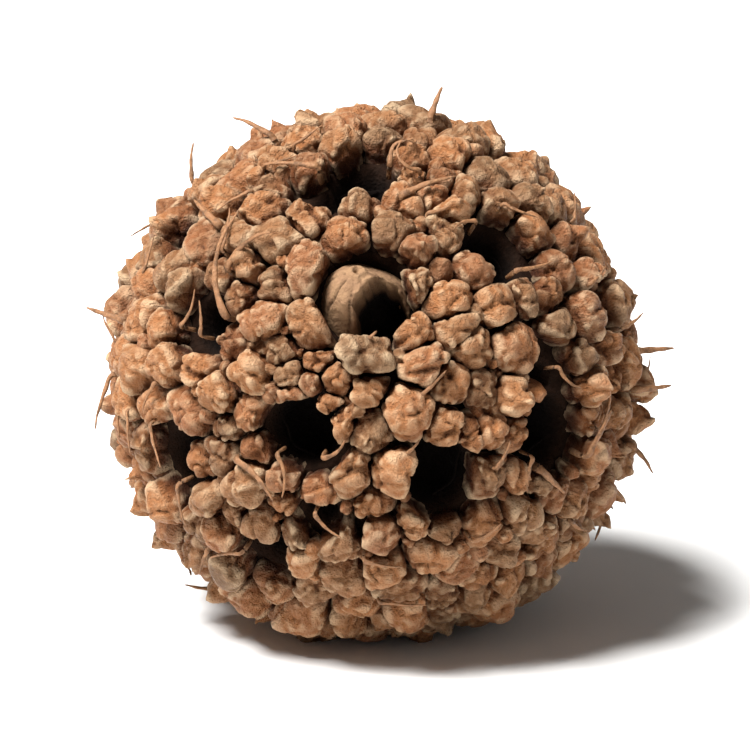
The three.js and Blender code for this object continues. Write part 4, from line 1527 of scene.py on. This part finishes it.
def add_light(name, given, aim):
    """A soft square light that looks at the ball."""
    azimuth, elevation, distance, size, power = given
    lamp = bpy.data.lights.new(name, "AREA")
    lamp.size = size
    lamp.energy = power
    light = bpy.data.objects.new(name, lamp)
    light.location = aim + Vector(direction(azimuth, elevation)) * distance
    light.rotation_euler = (aim - light.location).to_track_quat("-Z", "Y").to_euler()
    bpy.context.scene.collection.objects.link(light)


class SEEDBALL_OT_stage(bpy.types.Operator):
    """Set up the floor, the soft lights and the camera"""

    bl_idname = "seed_ball.stage"
    bl_label = "Stage"

    def execute(self, context):
        stage = context.scene.seed_ball_stage
        middle = Vector((0, 0, REST_HEIGHT * MM))
        disc = bmesh.new()
        size = {"segments": FLOOR_SIDES, "radius": stage.floor_radius}
        bmesh.ops.create_circle(disc, cap_ends=True, **size)
        mesh = bpy.data.meshes.new("floor")
        disc.to_mesh(mesh)
        disc.free()
        mesh.materials.append(pale_paper())
        floor = bpy.data.objects.new("floor", mesh)
        floor.location.z = -FLOOR_GAP * MM
        context.scene.collection.objects.link(floor)
        world = bpy.data.worlds.new("pale room")
        world.use_nodes = True
        sky = world.node_tree.nodes["Background"]
        sky.inputs["Color"].default_value = linear("#fbfaf8")
        sky.inputs["Strength"].default_value = WORLD_STRENGTH
        context.scene.world = world
        context.scene.view_settings.view_transform = "Standard"
        add_light("key", KEY_LIGHT, middle)
        add_light("fill", FILL_LIGHT, middle)
        camera = bpy.data.cameras.new("camera")
        camera.lens = stage.lens
        camera.clip_start = 0.01
        camera.clip_end = 20
        wide = 2 * CROWN_RADIUS * MM / stage.ball_share
        distance = wide * stage.lens / camera.sensor_width
        viewer = bpy.data.objects.new("camera", camera)
        back = Vector(direction(0, math.degrees(stage.view_elevation)))
        viewer.location = middle + back * distance
        viewer.rotation_euler = (-back).to_track_quat("-Z", "Y").to_euler()
        context.scene.collection.objects.link(viewer)
        context.scene.camera = viewer
        return {"FINISHED"}


class SEEDBALL_PT_panel(bpy.types.Panel):
    """Lists the pieces of the seed ball, in the order in which they grow"""

    bl_label = "Seed Ball"
    bl_space_type = "VIEW_3D"
    bl_region_type = "UI"
    bl_category = "Seed Ball"

    def draw(self, context):
        for group in ("seed_ball_shape", "seed_ball_finish", "seed_ball_stage"):
            settings = getattr(context.scene, group)
            column = self.layout.column()
            for name in settings.__annotations__:
                column.prop(settings, name)
        for operator in OPERATORS:
            self.layout.operator(operator.bl_idname)


SETTINGS = {
    "seed_ball_shape": SeedBallShape,
    "seed_ball_finish": SeedBallFinish,
    "seed_ball_stage": SeedBallStage,
}
OPERATORS = (
    SEEDBALL_OT_nodules,
    SEEDBALL_OT_small_lumps,
    SEEDBALL_OT_capsules,
    SEEDBALL_OT_buds,
    SEEDBALL_OT_styles,
    SEEDBALL_OT_stalk,
    SEEDBALL_OT_stage,
)


def register():
    for made in (*SETTINGS.values(), *OPERATORS, SEEDBALL_PT_panel):
        bpy.utils.register_class(made)
    for name, group in SETTINGS.items():
        setattr(bpy.types.Scene, name, bpy.props.PointerProperty(type=group))


def unregister():
    for name in SETTINGS:
        delattr(bpy.types.Scene, name)
    for made in (SEEDBALL_PT_panel, *OPERATORS, *SETTINGS.values()):
        bpy.utils.unregister_class(made)


def main():
    """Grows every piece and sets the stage."""
    register()
    for operator in OPERATORS:
        group, name = operator.bl_idname.split(".")
        getattr(getattr(bpy.ops, group), name)()


if __name__ == "__main__":
    main()
